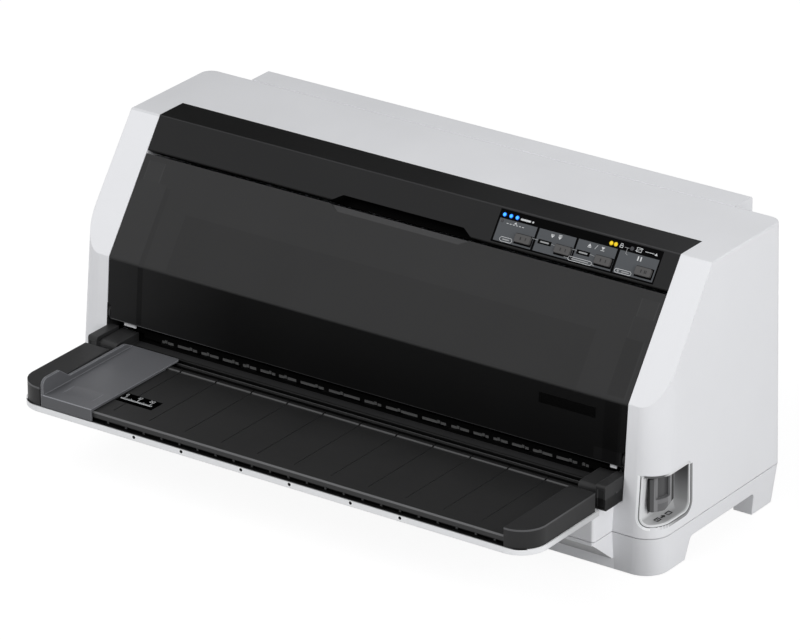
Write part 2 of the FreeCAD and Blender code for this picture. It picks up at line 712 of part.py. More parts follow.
# Casing pieces
def base_casing():
    taper_top = casing_body(FOOT_Z, BASE_TOP_Z, 0)
    block = front_block(0, -OVERRUN).common(box(-WIDTH, WIDTH, -BLOCK_REACH, BLOCK_REAR_Y,
                                                0, BASE_TOP_Z))
    solid = join([taper_top, block])
    inner = casing_body(FLOOR_Z, SEAM_Z, WALL)
    block_inner = front_block(WALL, -OVERRUN).common(box(-WIDTH, WIDTH, -BLOCK_REACH,
                                                         BLOCK_REAR_Y, FLOOR_Z, SHELF_Z))
    solid = solid.cut(inner)
    solid = solid.cut(block_inner)
    half = casing_half(UNDERSIDE_Z) - FOOT_WIDE
    middle = box(-half, half, SKIRT_REAR_Y, DEPTH + OVERRUN, -OVERRUN, UNDERSIDE_Z)
    slant = (FOOT_FRONT_TOP_Y - FOOT_FRONT_END_Y) / UNDERSIDE_Z
    side = prism("x", -WIDTH, WIDTH, [
        (FOOT_FRONT_END_Y - slant * OVERRUN, -OVERRUN), (FOOT_FRONT_TOP_Y, UNDERSIDE_Z),
        (FOOT_REAR_START_Y, UNDERSIDE_Z), (FOOT_REAR_START_Y, -OVERRUN),
    ], [0, FOOT_NOTCH_RADIUS, FOOT_NOTCH_RADIUS, 0])
    solid = solid.cut(middle)
    solid = solid.cut(side)
    solid = solid.cut(join(foot_hollows()))
    solid = solid.cut(join(foot_pads(PAD_RECESS + RUN_FIT, RUN_FIT)))
    lip_low = casing_body(BASE_TOP_Z - LIP_RISE, BASE_TOP_Z, WALL - EDGE_GAP)
    lip_high = casing_body(BASE_TOP_Z, BASE_TOP_Z + LIP_RISE, WALL + EDGE_GAP)
    lip_hole = casing_body(BASE_TOP_Z - LIP_RISE, BASE_TOP_Z + LIP_RISE, WALL + EDGE_GAP + LIP_WIDE)
    lip = join([lip_low, lip_high]).cut(lip_hole)
    clear = OPEN_HALF + WALL + SEAT_GAP
    lip = lip.cut(box(-clear, clear, -OVERRUN, BLOCK_REAR_Y, 0, HEIGHT))
    bosses = [rod_z(x, y, BOSS_RADIUS, UNDERSIDE_Z, FLOOR_Z + BOARD_LIFT) for x, y in board_posts()]
    return join([solid, lip] + bosses)


def foot_hollows():
    hollows = []
    outer = casing_half(FOOT_Z) - WALL
    inner = casing_half(UNDERSIDE_Z) - FOOT_WIDE + WALL
    front_start = casing_front(FOOT_Z) + FRONT_RADIUS / 2
    spans = ((front_start, FOOT_FRONT_END_Y - WALL),
             (FOOT_REAR_START_Y + WALL, casing_rear(FOOT_Z) - REAR_RADIUS / 2))
    for y0, y1 in spans:
        hollows += both_sides(box(inner, outer, y0, y1, FOOT_HOLLOW_Z, FLOOR_Z + FLOOR_THICK))
    return hollows


def foot_pads(rise, extra):
    x = casing_half(0) - FOOT_WIDE / 2
    pads = []
    for y in (PAD_FRONT_Y, PAD_REAR_Y):
        pads += both_sides(rod_z(x, y, PAD_RADIUS + extra, 0, FOOT_Z + rise))
    return pads


def board_posts():
    posts = []
    for xs, ys in ((MAIN_BOARD_X, MAIN_BOARD_Y), (SUPPLY_X, SUPPLY_Y)):
        for x in (xs[0] + BOSS_RADIUS, xs[1] - BOSS_RADIUS):
            for y in (ys[0] + BOSS_RADIUS, ys[1] - BOSS_RADIUS):
                posts.append((x, y))
    return posts


def casing_shell_outside():
    body = casing_body(HOUSING_LOW_Z, HEIGHT, 0)
    body = body.cut(slope_cutter(0))
    edges = []
    for edge in body.Edges:
        middle = edge.valueAt((edge.FirstParameter + edge.LastParameter) / 2)
        if abs(middle.z - HEIGHT) < RUN_FIT and abs(middle.y - CREASE_Y) > SEAM_GAP:
            edges.append(edge)
    return body.makeFillet(EDGE_ROUND, edges)


def main_housing():
    outer = casing_shell_outside()
    inner = casing_body(SEAM_Z, HEIGHT - WALL, WALL)
    inner = inner.cut(slope_cutter(WALL))
    shell = outer.cut(inner)
    shell = shell.cut(box(-OPEN_HALF, OPEN_HALF, -OVERRUN, BAND_REAR_Y, SHELF_Z, HEIGHT + OVERRUN))
    shell = shell.cut(box(-BLOCK_HALF + WALL, BLOCK_HALF - WALL, -OVERRUN, BLOCK_REAR_Y, 0, SHELF_Z))
    walls = both_sides(box(OPEN_HALF, OPEN_HALF + WALL, -OVERRUN, TOWER_WALL_REAR_Y,
                           HOUSING_LOW_Z, HEIGHT + OVERRUN))
    walls = [wall.common(outer) for wall in walls]
    keep = box(-WIDTH, WIDTH, -BLOCK_REACH - OVERRUN, BLOCK_REAR_Y, HOUSING_LOW_Z, SHELF_Z)
    block = front_block(0, -OVERRUN).cut(front_block(WALL, -OVERRUN)).common(keep)
    rear_face = box(-BLOCK_HALF, BLOCK_HALF, WALL * 2, BLOCK_REAR_Y, 0, SHELF_Z - WALL)
    block = block.cut(rear_face)
    shell = join([shell, block] + walls)
    cutters = both_sides(box(HOOK_X - HOOK_WIDE / 2 - SEAT_GAP, HOOK_X + HOOK_WIDE / 2 + SEAT_GAP,
                             -BLOCK_REACH - OVERRUN, -BLOCK_REACH + WALL * 2,
                             HOOK_LOW_Z - SEAT_GAP, HOOK_LOW_Z + HOOK_THICK + SEAT_GAP))
    cutters += both_sides(rod_x(PIVOT_Y, PIVOT_Z, PIVOT_PIN_RADIUS + RUN_FIT,
                                OPEN_HALF - WALL, OPEN_HALF + WALL * 2))
    cutters.append(pocket_solid(-EDGE_GAP, OVERRUN))
    cutters.append(rear_slot())
    hole = REAR_COVER_HALF - REAR_HOLE_INSET
    cutters.append(box(-hole, hole, DEPTH - REAR_RADIUS, DEPTH + OVERRUN,
                       REAR_COVER_KNEE_Z, HEIGHT - REAR_HOLE_INSET))
    for x, wide, high in sockets():
        cutters.append(box(x - wide / 2 - EDGE_GAP, x + wide / 2 + EDGE_GAP,
                           DEPTH - REAR_RADIUS, DEPTH + OVERRUN,
                           SOCKET_LOW_Z - EDGE_GAP, SOCKET_LOW_Z + high + EDGE_GAP))
    return shell.cut(join(cutters))


def sockets():
    return ((INLET_X, INLET_WIDE, INLET_HIGH), (SWITCH_X, SWITCH_WIDE, SWITCH_HIGH),
            (PORT_X, PORT_WIDE, PORT_HIGH), (USB_X, USB_WIDE, USB_HIGH))


def rear_slot():
    points = rectangle(-REAR_SLOT_HALF, REAR_SLOT_HALF, REAR_SLOT_LOW_Z, REAR_SLOT_HIGH_Z)
    return prism("y", DEPTH - REAR_RADIUS, DEPTH + OVERRUN, points, [REAR_COVER_RADIUS] * 4)


def rear_cover():
    top_front = casing_rear(HEIGHT)
    low_front = casing_rear(REAR_COVER_LOW_Z)
    points = [(low_front, REAR_COVER_LOW_Z), (REAR_COVER_BACK_Y, REAR_COVER_KNEE_Z),
              (REAR_COVER_BACK_Y, HEIGHT), (top_front, HEIGHT)]
    radius = REAR_COVER_RADIUS
    outer = prism("x", -REAR_COVER_HALF, REAR_COVER_HALF, points, [0, radius, radius, 0])
    wall = REAR_COVER_WALL
    half = REAR_COVER_HALF - wall
    inner_points = [(low_front - OVERRUN, REAR_COVER_LOW_Z + wall * 2),
                    (low_front + wall, REAR_COVER_LOW_Z + wall * 2),
                    (REAR_COVER_BACK_Y - wall, REAR_COVER_KNEE_Z + wall),
                    (REAR_COVER_BACK_Y - wall, HEIGHT - wall),
                    (top_front - OVERRUN, HEIGHT - wall)]
    return outer.cut(prism("x", -half, half, inner_points))


# Sockets and the power switch at the rear
def socket_body(x, wide, high):
    back = casing_rear(SOCKET_LOW_Z) + SOCKET_PROUD
    body = box(x - wide / 2, x + wide / 2, back - SOCKET_DEEP, back,
               SOCKET_LOW_Z, SOCKET_LOW_Z + high)
    mouth = box(x - wide / 2 + SOCKET_FRAME, x + wide / 2 - SOCKET_FRAME,
                back - SOCKET_MOUTH_DEEP, back + OVERRUN,
                SOCKET_LOW_Z + SOCKET_FRAME, SOCKET_LOW_Z + high - SOCKET_FRAME)
    return body.cut(mouth), back


def ac_inlet():
    body, back = socket_body(INLET_X, INLET_WIDE, INLET_HIGH)
    middle = SOCKET_LOW_Z + INLET_HIGH / 2
    pins = []
    for step in (-1, 0, 1):
        x = INLET_X + step * INLET_WIDE / 4
        z = middle + (CONTACT_SIZE if step == 0 else -CONTACT_SIZE)
        pins.append(box(x - CONTACT_SIZE / 2, x + CONTACT_SIZE / 2,
                        back - SOCKET_MOUTH_DEEP - CONTACT_SIZE, back - SOCKET_FRAME,
                        z - CONTACT_SIZE * 1.5, z + CONTACT_SIZE * 1.5))
    return join([body] + pins)


def port_tongue(x, wide, high, share):
    body, back = socket_body(x, wide, high)
    middle = SOCKET_LOW_Z + high / 2
    tongue = box(x - wide * share / 2, x + wide * share / 2,
                 back - SOCKET_MOUTH_DEEP - CONTACT_SIZE, back - SOCKET_FRAME,
                 middle - CONTACT_SIZE, middle + CONTACT_SIZE)
    return join([body, tongue])


def rocker_centre():
    back = casing_rear(SOCKET_LOW_Z) + SOCKET_PROUD
    return back - SOCKET_MOUTH_DEEP / 2, SOCKET_LOW_Z + SWITCH_HIGH / 2


def power_switch_housing():
    body, back = socket_body(SWITCH_X, SWITCH_WIDE, SWITCH_HIGH)
    y, z = rocker_centre()
    bore = rod_x(y, z, ROCKER_PIN_RADIUS + RUN_FIT, SWITCH_X - SWITCH_WIDE / 2 + SOCKET_FRAME / 4,
                 SWITCH_X + SWITCH_WIDE / 2 - SOCKET_FRAME / 4)
    return body.cut(bore)


def power_rocker():
    y, z = rocker_centre()
    half = SWITCH_WIDE / 2 - SOCKET_FRAME - SEAT_GAP
    reach = SWITCH_HIGH / 2 - SOCKET_FRAME - ROCKER_ROOM
    front = y + ROCKER_THICK / 2
    points = [(y - reach / 2, z - reach / 2), (front + SOCKET_PROUD, z - reach),
              (front, z), (front - SOCKET_PROUD, z + reach), (y - reach / 2, z + reach / 2)]
    paddle = prism("x", SWITCH_X - half, SWITCH_X + half, points)
    pin = rod_x(y, z, ROCKER_PIN_RADIUS, SWITCH_X - half - SOCKET_FRAME / 2,
                SWITCH_X + half + SOCKET_FRAME / 2)
    return join([paddle, pin])


# Front band, control panel and smoked cover
def band_section(s_low):
    foot, top = slope_line(0)
    deep_foot, deep_top = slope_line(BAND_THICK)
    rear = BAND_REAR_Y - EDGE_GAP
    outside = [front_point(s_low, 0), top, (rear, HEIGHT)]
    inside = [(rear, HEIGHT - BAND_THICK), deep_top, front_point(s_low, BAND_THICK)]
    return outside + inside


def trapezoid(top_half, low_half, top_s, low_s):
    return [(-low_half, low_s), (low_half, low_s), (top_half, top_s), (-top_half, top_s)]


def recess_outline(grow):
    high = BAND_FOOT_S + RECESS_RISE + grow
    low = BAND_FOOT_S
    return trapezoid(NOTCH_LOW_HALF + grow, NOTCH_TOP_HALF + grow, high, low)


def panel_box(low, high, inset):
    return box(PANEL_LEFT_X + inset, PANEL_RIGHT_X - inset, PANEL_LOW_S + inset,
               PANEL_HIGH_S - inset, low, high)


def button_x(index):
    return BUTTON_FIRST_X + BUTTON_PITCH * index


def button_prism(index, grow, low, high):
    x = button_x(index)
    half = BUTTON_WIDE / 2 + grow
    tall = BUTTON_TALL / 2 + grow
    points = rectangle(x - half, x + half, BUTTON_S - tall, BUTTON_S + tall)
    return flat_prism(points, [BUTTON_RADIUS] * 4, low, high)


def light_spots():
    spots = [(x, LIGHT_S) for x in LIGHT_X]
    return spots + [(x, CELL_LIGHT_S) for x in CELL_LIGHT_X]


def panel_holes(low, high):
    holes = [button_prism(i, EDGE_GAP, low, high) for i in range(BUTTON_COUNT)]
    holes += [rod_z(x, s, LIGHT_RADIUS + EDGE_GAP, low, high) for x, s in light_spots()]
    return holes


def front_band():
    band = prism("x", -BAND_HALF, BAND_HALF, band_section(BAND_FOOT_S))
    lip = box(-BAND_HALF, BAND_HALF, BAND_FOOT_S, BAND_FOOT_S + BAND_LIP_THICK, -BAND_LIP_DEEP,
              -BAND_THICK)
    cup = flat_prism(recess_outline(RECESS_WALL), [0] * 4, -RECESS_DEEP - RECESS_WALL, -BAND_THICK)
    hollow = flat_prism(recess_outline(0), [0] * 4, -RECESS_DEEP, OVERRUN)
    open_foot = box(-NOTCH_TOP_HALF, NOTCH_TOP_HALF, BAND_FOOT_S - OVERRUN, BAND_FOOT_S,
                    -RECESS_DEEP, OVERRUN)
    seat = panel_box(-PANEL_THICK, OVERRUN, -EDGE_GAP)
    band = join([band, on_slope(join([lip, cup]))])
    holes = [hollow, open_foot, seat] + panel_holes(-BAND_LIP_DEEP, OVERRUN)
    return band.cut(on_slope(join(holes)))


def control_panel():
    plate = panel_box(-PANEL_THICK, PANEL_PROUD, 0)
    return on_slope(plate.cut(join(panel_holes(-BAND_LIP_DEEP, OVERRUN))))


def panel_button(index):
    cap = button_prism(index, 0, -BAND_THICK - SEAT_GAP, BUTTON_PROUD)
    flange_low = -BAND_THICK - SEAT_GAP - BUTTON_FLANGE
    flange = button_prism(index, BUTTON_FLANGE, flange_low, -BAND_THICK - SEAT_GAP)
    stem_low = tact_top() + SEAT_GAP + BUTTON_TRAVEL
    stem = rod_z(button_x(index), BUTTON_S, BUTTON_STEM_RADIUS, stem_low, flange_low)
    return on_slope(join([cap, flange, stem]))


def tact_top():
    return -BOARD_DEPTH + TACT_SIZE / 2


def indicator_lights():
    lights = [rod_z(x, s, LIGHT_RADIUS, -BOARD_DEPTH, PANEL_PROUD) for x, s in light_spots()]
    return Part.makeCompound([on_slope(light) for light in lights])


def control_board():
    board = box(RIB_LEFT_X, RIB_RIGHT_X + RECESS_WALL, PANEL_LOW_S + BOARD_MARGIN,
                PANEL_HIGH_S - BOARD_MARGIN, -BOARD_DEPTH - BOARD_THICK, -BOARD_DEPTH)
    tacts = []
    for i in range(BUTTON_COUNT):
        x = button_x(i)
        half = TACT_SIZE / 2
        tacts.append(box(x - half, x + half, BUTTON_S - half, BUTTON_S + half,
                         -BOARD_DEPTH, tact_top()))
    return on_slope(join([board] + tacts))


def panel_stand():
    """Ribs on the band's back, which hold the control board."""
    ribs = []
    for x in (RIB_LEFT_X, RIB_RIGHT_X):
        ribs.append(box(x, x + RECESS_WALL, PANEL_LOW_S + BOARD_MARGIN, PANEL_HIGH_S - BOARD_MARGIN,
                        -BOARD_DEPTH, -BAND_THICK))
    return on_slope(join(ribs))


def cover_foot_s():
    return -(SLOPE_FOOT_Z - COVER_FOOT_Z) / math.cos(math.atan(FRONT_LEAN_SHARE))


def printer_cover():
    foot_s = cover_foot_s()
    crease, top = slope_line(COVER_THICK)
    lip_s = COVER_TOP_S - COVER_THICK
    section = [front_point(foot_s, 0), (SLOPE_FOOT_Y, SLOPE_FOOT_Z), front_point(COVER_TOP_S, 0),
               front_point(COVER_TOP_S, COVER_LIP_DEEP), front_point(lip_s, COVER_LIP_DEEP),
               front_point(lip_s, COVER_THICK), crease, front_point(foot_s, COVER_THICK)]
    bend = COVER_THICK * 2
    radii = [0, bend, 0, 0, 0, 0, bend - COVER_THICK, 0]
    cover = prism("x", -COVER_HALF, COVER_HALF, section, radii)
    notch = trapezoid(NOTCH_TOP_HALF, NOTCH_LOW_HALF, COVER_TOP_S + NOTCH_EDGE_LEFT,
                      COVER_TOP_S - NOTCH_DEEP)
    low_s = COVER_TOP_S - NOTCH_DEEP
    high_s = COVER_TOP_S + NOTCH_EDGE_LEFT
    deep = COVER_THICK - NOTCH_EDGE_LEFT
    wedge = prism("x", -NOTCH_TOP_HALF, NOTCH_TOP_HALF,
                  [front_point(low_s, 0), front_point(low_s, -OVERRUN), front_point(high_s, -OVERRUN),
                   front_point(high_s, deep)])
    outline = on_slope(flat_prism(notch, [0] * 4, -RECESS_DEEP, OVERRUN))
    lip_cut = on_slope(box(-NOTCH_TOP_HALF, NOTCH_TOP_HALF, lip_s - OVERRUN, high_s,
                           -RECESS_DEEP, -COVER_THICK))
    cutters = [outline.common(wedge), lip_cut]
    cutters += both_sides(box(COVER_HALF - COVER_STEP, COVER_HALF + OVERRUN, -OVERRUN, CREASE_Y,
                              COVER_FOOT_Z - OVERRUN, COVER_STEP_Z))
    cover = cover.cut(join(cutters))
    arm_x = COVER_HALF - COVER_STEP - ARM_THICK
    front = front_point(foot_s, COVER_THICK / 2)[0]
    arm = join([rod_x(PIVOT_Y, PIVOT_Z, ARM_RADIUS, arm_x, arm_x + ARM_THICK),
                prism("x", arm_x, arm_x + ARM_THICK,
                      [(front, COVER_FOOT_Z), (PIVOT_Y, PIVOT_Z - ARM_RADIUS),
                       (PIVOT_Y, PIVOT_Z + ARM_RADIUS), (front, COVER_STEP_Z + ARM_RADIUS)])])
    arm = arm.cut(rod_x(PIVOT_Y, PIVOT_Z, PIVOT_PIN_RADIUS, -WIDTH, WIDTH))
    return join([cover] + both_sides(arm))


def cover_hinge_pins():
    inner = COVER_HALF - COVER_STEP - ARM_THICK
    return Part.makeCompound(both_sides(rod_x(PIVOT_Y, PIVOT_Z, PIVOT_PIN_RADIUS, inner,
                                              OPEN_HALF + WALL)))


# Black front frame below the cover
def front_frame():
    lip = prism("x", -SHELF_INNER_X, SHELF_INNER_X,
                rectangle(LIP_FRONT_Y, LIP_REAR_Y, LIP_LOW_Z, PAPER_Z), [0, 0, 0, LIP_RADIUS])
    base = box(-BRACKET_INNER_X, BRACKET_INNER_X, FRAME_BASE_FRONT_Y, LIP_REAR_Y,
               SHELF_Z, FRAME_BASE_HIGH_Z)
    ridge = prism("x", -SHELF_INNER_X, SHELF_INNER_X,
                  rectangle(RIDGE_FRONT_Y, RIDGE_FRONT_Y + RIDGE_WIDE, LIP_LOW_Z, RIDGE_TOP_Z),
                  [0, 0, LIP_RADIUS, LIP_RADIUS])
    shelf = prism("x", SHELF_INNER_X, BRACKET_INNER_X,
                  rectangle(SHELF_FRONT_Y, LIP_REAR_Y, SHELF_Z, SHELF_TOP_Z),
                  [0, 0, 0, SHELF_RADIUS])
    wall = prism("x", BRACKET_INNER_X, BRACKET_HALF,
                 rectangle(BRACKET_FRONT_Y, BRACKET_REAR_Y, BRACKET_LOW_Z, BRACKET_TOP_Z),
                 [EDGE_ROUND, 0, 0, BRACKET_ROUND])
    inset = box(BRACKET_INNER_X + BRACKET_BORDER, BRACKET_HALF - BRACKET_BORDER,
                BRACKET_FRONT_Y - OVERRUN, BRACKET_FRONT_Y + BRACKET_INSET,
                BRACKET_LOW_Z + BRACKET_BORDER, BRACKET_TOP_Z - BRACKET_BORDER - BRACKET_ROUND)
    groove = box(BRACKET_INNER_X - BRACKET_GROOVE, BRACKET_INNER_X, SHELF_FRONT_Y - OVERRUN,
                 LIP_REAR_Y, SHELF_TOP_Z - BRACKET_BORDER, BRACKET_TOP_Z)
    frame = join([lip, base, ridge] + both_sides(shelf) + both_sides(wall))
    return frame.cut(join(both_sides(inset) + both_sides(groove)))


# Sheet table
def table_outline(half, front, rear, corner):
    return rectangle(-half, half, front, rear), [corner, corner, 0, 0]


def table_tray():
    points, radii = table_outline(TRAY_HALF, TRAY_FRONT_Y, -BLOCK_REACH, TRAY_CORNER)
    tray = prism("z", TRAY_LOW_Z, TRAY_HIGH_Z, points, radii)
    hollow_points, hollow_radii = table_outline(TRAY_HALF - TRAY_WALL,
                                                TRAY_FRONT_Y + TRAY_LEDGE_DEEP,
                                                -BLOCK_REACH - TRAY_WALL, TRAY_CORNER - TRAY_WALL)
    hollow = prism("z", TRAY_LOW_Z + TRAY_WALL, TRAY_HIGH_Z + OVERRUN, hollow_points, hollow_radii)
    holes = []
    for share in RIM_HOLE_SHARES:
        holes += both_sides(rod_y(TRAY_HALF * share, TRAY_LOW_Z + RIM_HOLE_RISE, RIM_HOLE_RADIUS,
                                  TRAY_FRONT_Y - OVERRUN, TRAY_FRONT_Y + RIM_HOLE_DEEP))
    tray = tray.cut(join([hollow] + holes))
    hook = prism("x", HOOK_X - HOOK_WIDE / 2, HOOK_X + HOOK_WIDE / 2, [
        (-BLOCK_REACH - HOOK_THICK, TRAY_LOW_Z + TRAY_WALL / 2),
        (-BLOCK_REACH - HOOK_THICK, HOOK_LOW_Z),
        (-BLOCK_REACH + HOOK_REACH, HOOK_LOW_Z),
        (-BLOCK_REACH + HOOK_REACH, HOOK_LOW_Z + HOOK_THICK),
        (-BLOCK_REACH, HOOK_LOW_Z + HOOK_THICK),
        (-BLOCK_REACH, TRAY_LOW_Z + TRAY_WALL / 2),
    ])
    return join([tray] + both_sides(hook))


def rib_places():
    first = -RIB_PITCH * (RIB_COUNT - 1) / 2
    return [first + RIB_PITCH * i for i in range(RIB_COUNT)]


def table_plate():
    half = END_INNER_X - EDGE_GAP
    slab_low = PAPER_Z - PLATE_THICK
    step_z = PAPER_Z + PLATE_STEP_RISE
    slab = prism("x", -half, half, [
        (PLATE_FRONT_Y, slab_low), (PLATE_REAR_Y, slab_low), (PLATE_REAR_Y, step_z),
        (PLATE_STEP_Y + PLATE_STEP_RUN, step_z), (PLATE_STEP_Y, PAPER_Z), (PLATE_FRONT_Y, PAPER_Z)],
        [0, 0, PLATE_STEP_RISE / 2, 0, 0, EDGE_ROUND])
    lip = box(-half, half, PLATE_FRONT_Y, PLATE_FRONT_Y + PLATE_LIP_WIDE, PLATE_LIP_LOW_Z, slab_low)
    rib_front = PLATE_FRONT_Y + RIB_SETBACK
    rib_low = TRAY_LOW_Z + TRAY_WALL
    ribs = [box(x - RIB_WIDE / 2, x + RIB_WIDE / 2, rib_front, TABLE_REAR_Y, rib_low, slab_low)
            for x in rib_places()]
    wall_front = PLATE_FRONT_Y + SLOT_WALL_SETBACK
    wall = box(-half, half, wall_front, wall_front + SLOT_WALL_THICK, rib_low, slab_low)
    plate = join([slab, lip, wall] + ribs)
    grooves = []
    for i in range(GROOVE_COUNT):
        x = GROOVE_PITCH * (i - (GROOVE_COUNT - 1) / 2)
        grooves.append(box(x - GROOVE_WIDE / 2, x + GROOVE_WIDE / 2, GROOVE_FRONT_Y,
                           PLATE_REAR_Y + OVERRUN, PAPER_Z - GROOVE_DEEP, PAPER_Z + OVERRUN))
    label = label_box(OVERRUN)
    return plate.cut(join(grooves + [label]))


def label_box(high):
    return box(LABEL_LEFT_X, LABEL_RIGHT_X, LABEL_FRONT_Y, LABEL_REAR_Y,
               PAPER_Z - LABEL_THICK, PAPER_Z + high)


def scale_label():
    return label_box(0)


def table_block_right():
    rear = TABLE_REAR_Y
    points = [(END_INNER_X, END_FRONT_Y), (END_HALF, END_FRONT_Y), (END_HALF, rear),
              (END_INNER_X, rear)]
    block = prism("z", TRAY_HIGH_Z, BLOCK_TOP_Z, points, [0, END_CORNER, 0, 0])
    wall = END_WALL
    inner = [(END_INNER_X + wall, END_FRONT_Y + wall), (END_HALF - wall, END_FRONT_Y + wall),
             (END_HALF - wall, rear - wall), (END_INNER_X + wall, rear - wall)]
    hollow = prism("z", TRAY_HIGH_Z - OVERRUN, BLOCK_TOP_Z - wall, inner, [0, END_CORNER - wall * 2, 0, 0])
    return block.cut(hollow)


def edge_guide():
    wall_in = GUIDE_WALL_X + GUIDE_WALL_THICK
    low = PAPER_Z + GUIDE_LIFT
    plate = prism("z", low, GUIDE_TOP_Z,
                  rectangle(wall_in - GUIDE_WALL_THICK, GUIDE_RIGHT_X, GUIDE_FRONT_Y, GUIDE_REAR_Y),
                  [0, 0, GUIDE_CORNER, 0])
    side = [(GUIDE_FRONT_Y, low), (GUIDE_REAR_Y, low), (GUIDE_REAR_Y, GUIDE_TOP_Z),
            (GUIDE_REAR_Y - GUIDE_REAR_FALL, GUIDE_WALL_TOP_Z),
            (GUIDE_LUG_FOOT_Y, GUIDE_WALL_TOP_Z), (GUIDE_LUG_REAR_Y, GUIDE_LUG_TOP_Z),
            (GUIDE_FRONT_Y, GUIDE_LUG_TOP_Z)]
    radii = [0, 0, 0, GUIDE_CORNER * 2, GUIDE_CORNER, GUIDE_CORNER, GUIDE_LUG_RADIUS]
    wall = prism("x", GUIDE_WALL_X, wall_in, side, radii)
    apron = box(GUIDE_WALL_X, GUIDE_RIGHT_X, GUIDE_FRONT_Y, GUIDE_FRONT_Y + GUIDE_APRON_THICK,
                GUIDE_APRON_LOW_Z, low)
    guide = join([plate, wall, apron])
    tail = box(GUIDE_WALL_X - OVERRUN, GUIDE_RIGHT_X + OVERRUN, GUIDE_TAIL_Y,
               GUIDE_REAR_Y + OVERRUN, PAPER_Z, low + PLATE_STEP_RISE)
    scoop = rod_x(GUIDE_SCOOP_Y, GUIDE_TOP_Z + GUIDE_SCOOP_RADIUS - GUIDE_SCOOP_DEEP,
                  GUIDE_SCOOP_RADIUS, wall_in + GUIDE_SCOOP_MARGIN,
                  GUIDE_RIGHT_X - GUIDE_SCOOP_MARGIN)
    return guide.cut(join([tail, scoop]))


# Release lever
def lever_pocket():
    liner = pocket_solid(0, OVERRUN).cut(pocket_solid(POCKET_WALL, OVERRUN * 2))
    liner = liner.common(casing_body(HOUSING_LOW_Z, HEIGHT, EDGE_GAP))
    slot = box(POCKET_LEFT_X - OVERRUN, POCKET_LEFT_X + POCKET_WALL * 2, SLOT_FRONT_Y, SLOT_REAR_Y,
               SLOT_LOW_Z, SLOT_HIGH_Z)
    return liner.cut(slot)


def release_lever():
    hub = rod_x(LEVER_Y, LEVER_Z, LEVER_HUB_RADIUS, LEVER_PLATE_X - LEVER_PLATE_THICK,
                LEVER_PLATE_X + LEVER_PLATE_THICK)
    radius = LEVER_SHUTTER_RADIUS
    front = math.radians(90 + LEVER_SHUTTER_FRONT_DEG)
    rear = math.radians(90 - LEVER_SHUTTER_REAR_DEG)
    middle = (front + rear) / 2
    corner = Vector(LEVER_PLATE_X, LEVER_Y, LEVER_Z)

    def rim(angle):
        return corner + Vector(0, radius * math.cos(angle), radius * math.sin(angle))

    shutter_wire = Part.Wire([Part.makeLine(corner, rim(front)),
                              Part.Arc(rim(front), rim(middle), rim(rear)).toShape(),
                              Part.makeLine(rim(rear), corner)])
    shutter = Part.Face(shutter_wire).extrude(Vector(LEVER_PLATE_THICK, 0, 0))
    neck = box(LEVER_PLATE_X, GRIP_INNER_X + POCKET_WALL, LEVER_Y - NECK_HALF_Y,
               LEVER_Y + NECK_HALF_Y, NECK_LOW_Z, NECK_HIGH_Z)
    grip = prism("x", GRIP_INNER_X, GRIP_OUTER_X, [
        (LEVER_Y - GRIP_HALF_Y, GRIP_LOW_Z), (LEVER_Y, GRIP_LOW_Z),
        (LEVER_Y + GRIP_HALF_Y, GRIP_REAR_LOW_Z),
        (LEVER_Y + GRIP_HALF_Y, GRIP_HIGH_Z), (LEVER_Y - GRIP_HALF_Y, GRIP_HIGH_Z)])
    end = prism("y", 0, POCKET_REAR_Y, rectangle(GRIP_INNER_X, GRIP_OUTER_X, GRIP_LOW_Z, GRIP_HIGH_Z),
                [GRIP_FOOT_RADIUS, 0, 0, 0])
    grip = grip.common(end).common(casing_body(HOUSING_LOW_Z, HEIGHT, GRIP_INSET))
    deep = casing_body(HOUSING_LOW_Z, HEIGHT, GRIP_INSET + GRIP_HOLLOW_DEEP)
    hollow = box(GRIP_INNER_X, WIDTH / 2, GRIP_HOLLOW_FRONT_Y, GRIP_HOLLOW_REAR_Y,
                 GRIP_HOLLOW_LOW_Z, HEIGHT).cut(deep)
    grip = grip.cut(hollow)
    lever = join([hub, shutter, neck, grip])
    return lever.cut(rod_x(LEVER_Y, LEVER_Z, LEVER_PIN_RADIUS + RUN_FIT, OPEN_HALF, GRIP_INNER_X))


def lever_pivot_pin():
    return rod_x(LEVER_Y, LEVER_Z, LEVER_PIN_RADIUS, OPEN_HALF + WALL,
                 LEVER_PLATE_X + LEVER_PLATE_THICK)


# Steel frame of the mechanism
def side_frame_outline():
    outline = [(FRAME_FRONT_Y, FLOOR_Z), (FRAME_REAR_Y, FLOOR_Z),
               (FRAME_REAR_Y, FRAME_REAR_SHOULDER_Z), (FRAME_REAR_SHOULDER_Y, FRAME_TOP_Z),
               (FRAME_SHOULDER_Y, FRAME_TOP_Z)]
    outline += reversed(FRAME_OUTLINE)
    outline.append((FRAME_FRONT_Y, FRAME_CHIN_Z))
    return outline


def shaft_holes(x0, x1):
    return [rod_x(FEED_FRONT_Y, FEED_Z, FEED_SHAFT_RADIUS + RUN_FIT, x0, x1),
            rod_x(FEED_REAR_Y, FEED_Z, FEED_SHAFT_RADIUS + RUN_FIT, x0, x1),
            rod_x(FEED_FRONT_Y, PINCH_Z, PINCH_AXLE_RADIUS + RUN_FIT, x0, x1),
            rod_x(FEED_REAR_Y, PINCH_Z, PINCH_AXLE_RADIUS + RUN_FIT, x0, x1),
            rod_x(CARRIAGE_SHAFT_Y, CARRIAGE_SHAFT_Z, CARRIAGE_SHAFT_RADIUS, x0, x1)]


def side_frame():
    plate = prism("x", FRAME_INNER_X, FRAME_OUTER_X, side_frame_outline())
    tabs = [box(FRAME_INNER_X, FRAME_OUTER_X + FRAME_TAB_REACH, y - FRAME_TAB_WIDE / 2,
                y + FRAME_TAB_WIDE / 2, FLOOR_Z, FLOOR_Z + FRAME_THICK) for y in FRAME_TAB_Y]
    return join([plate] + tabs).cut(join(shaft_holes(0, WIDTH / 2)))


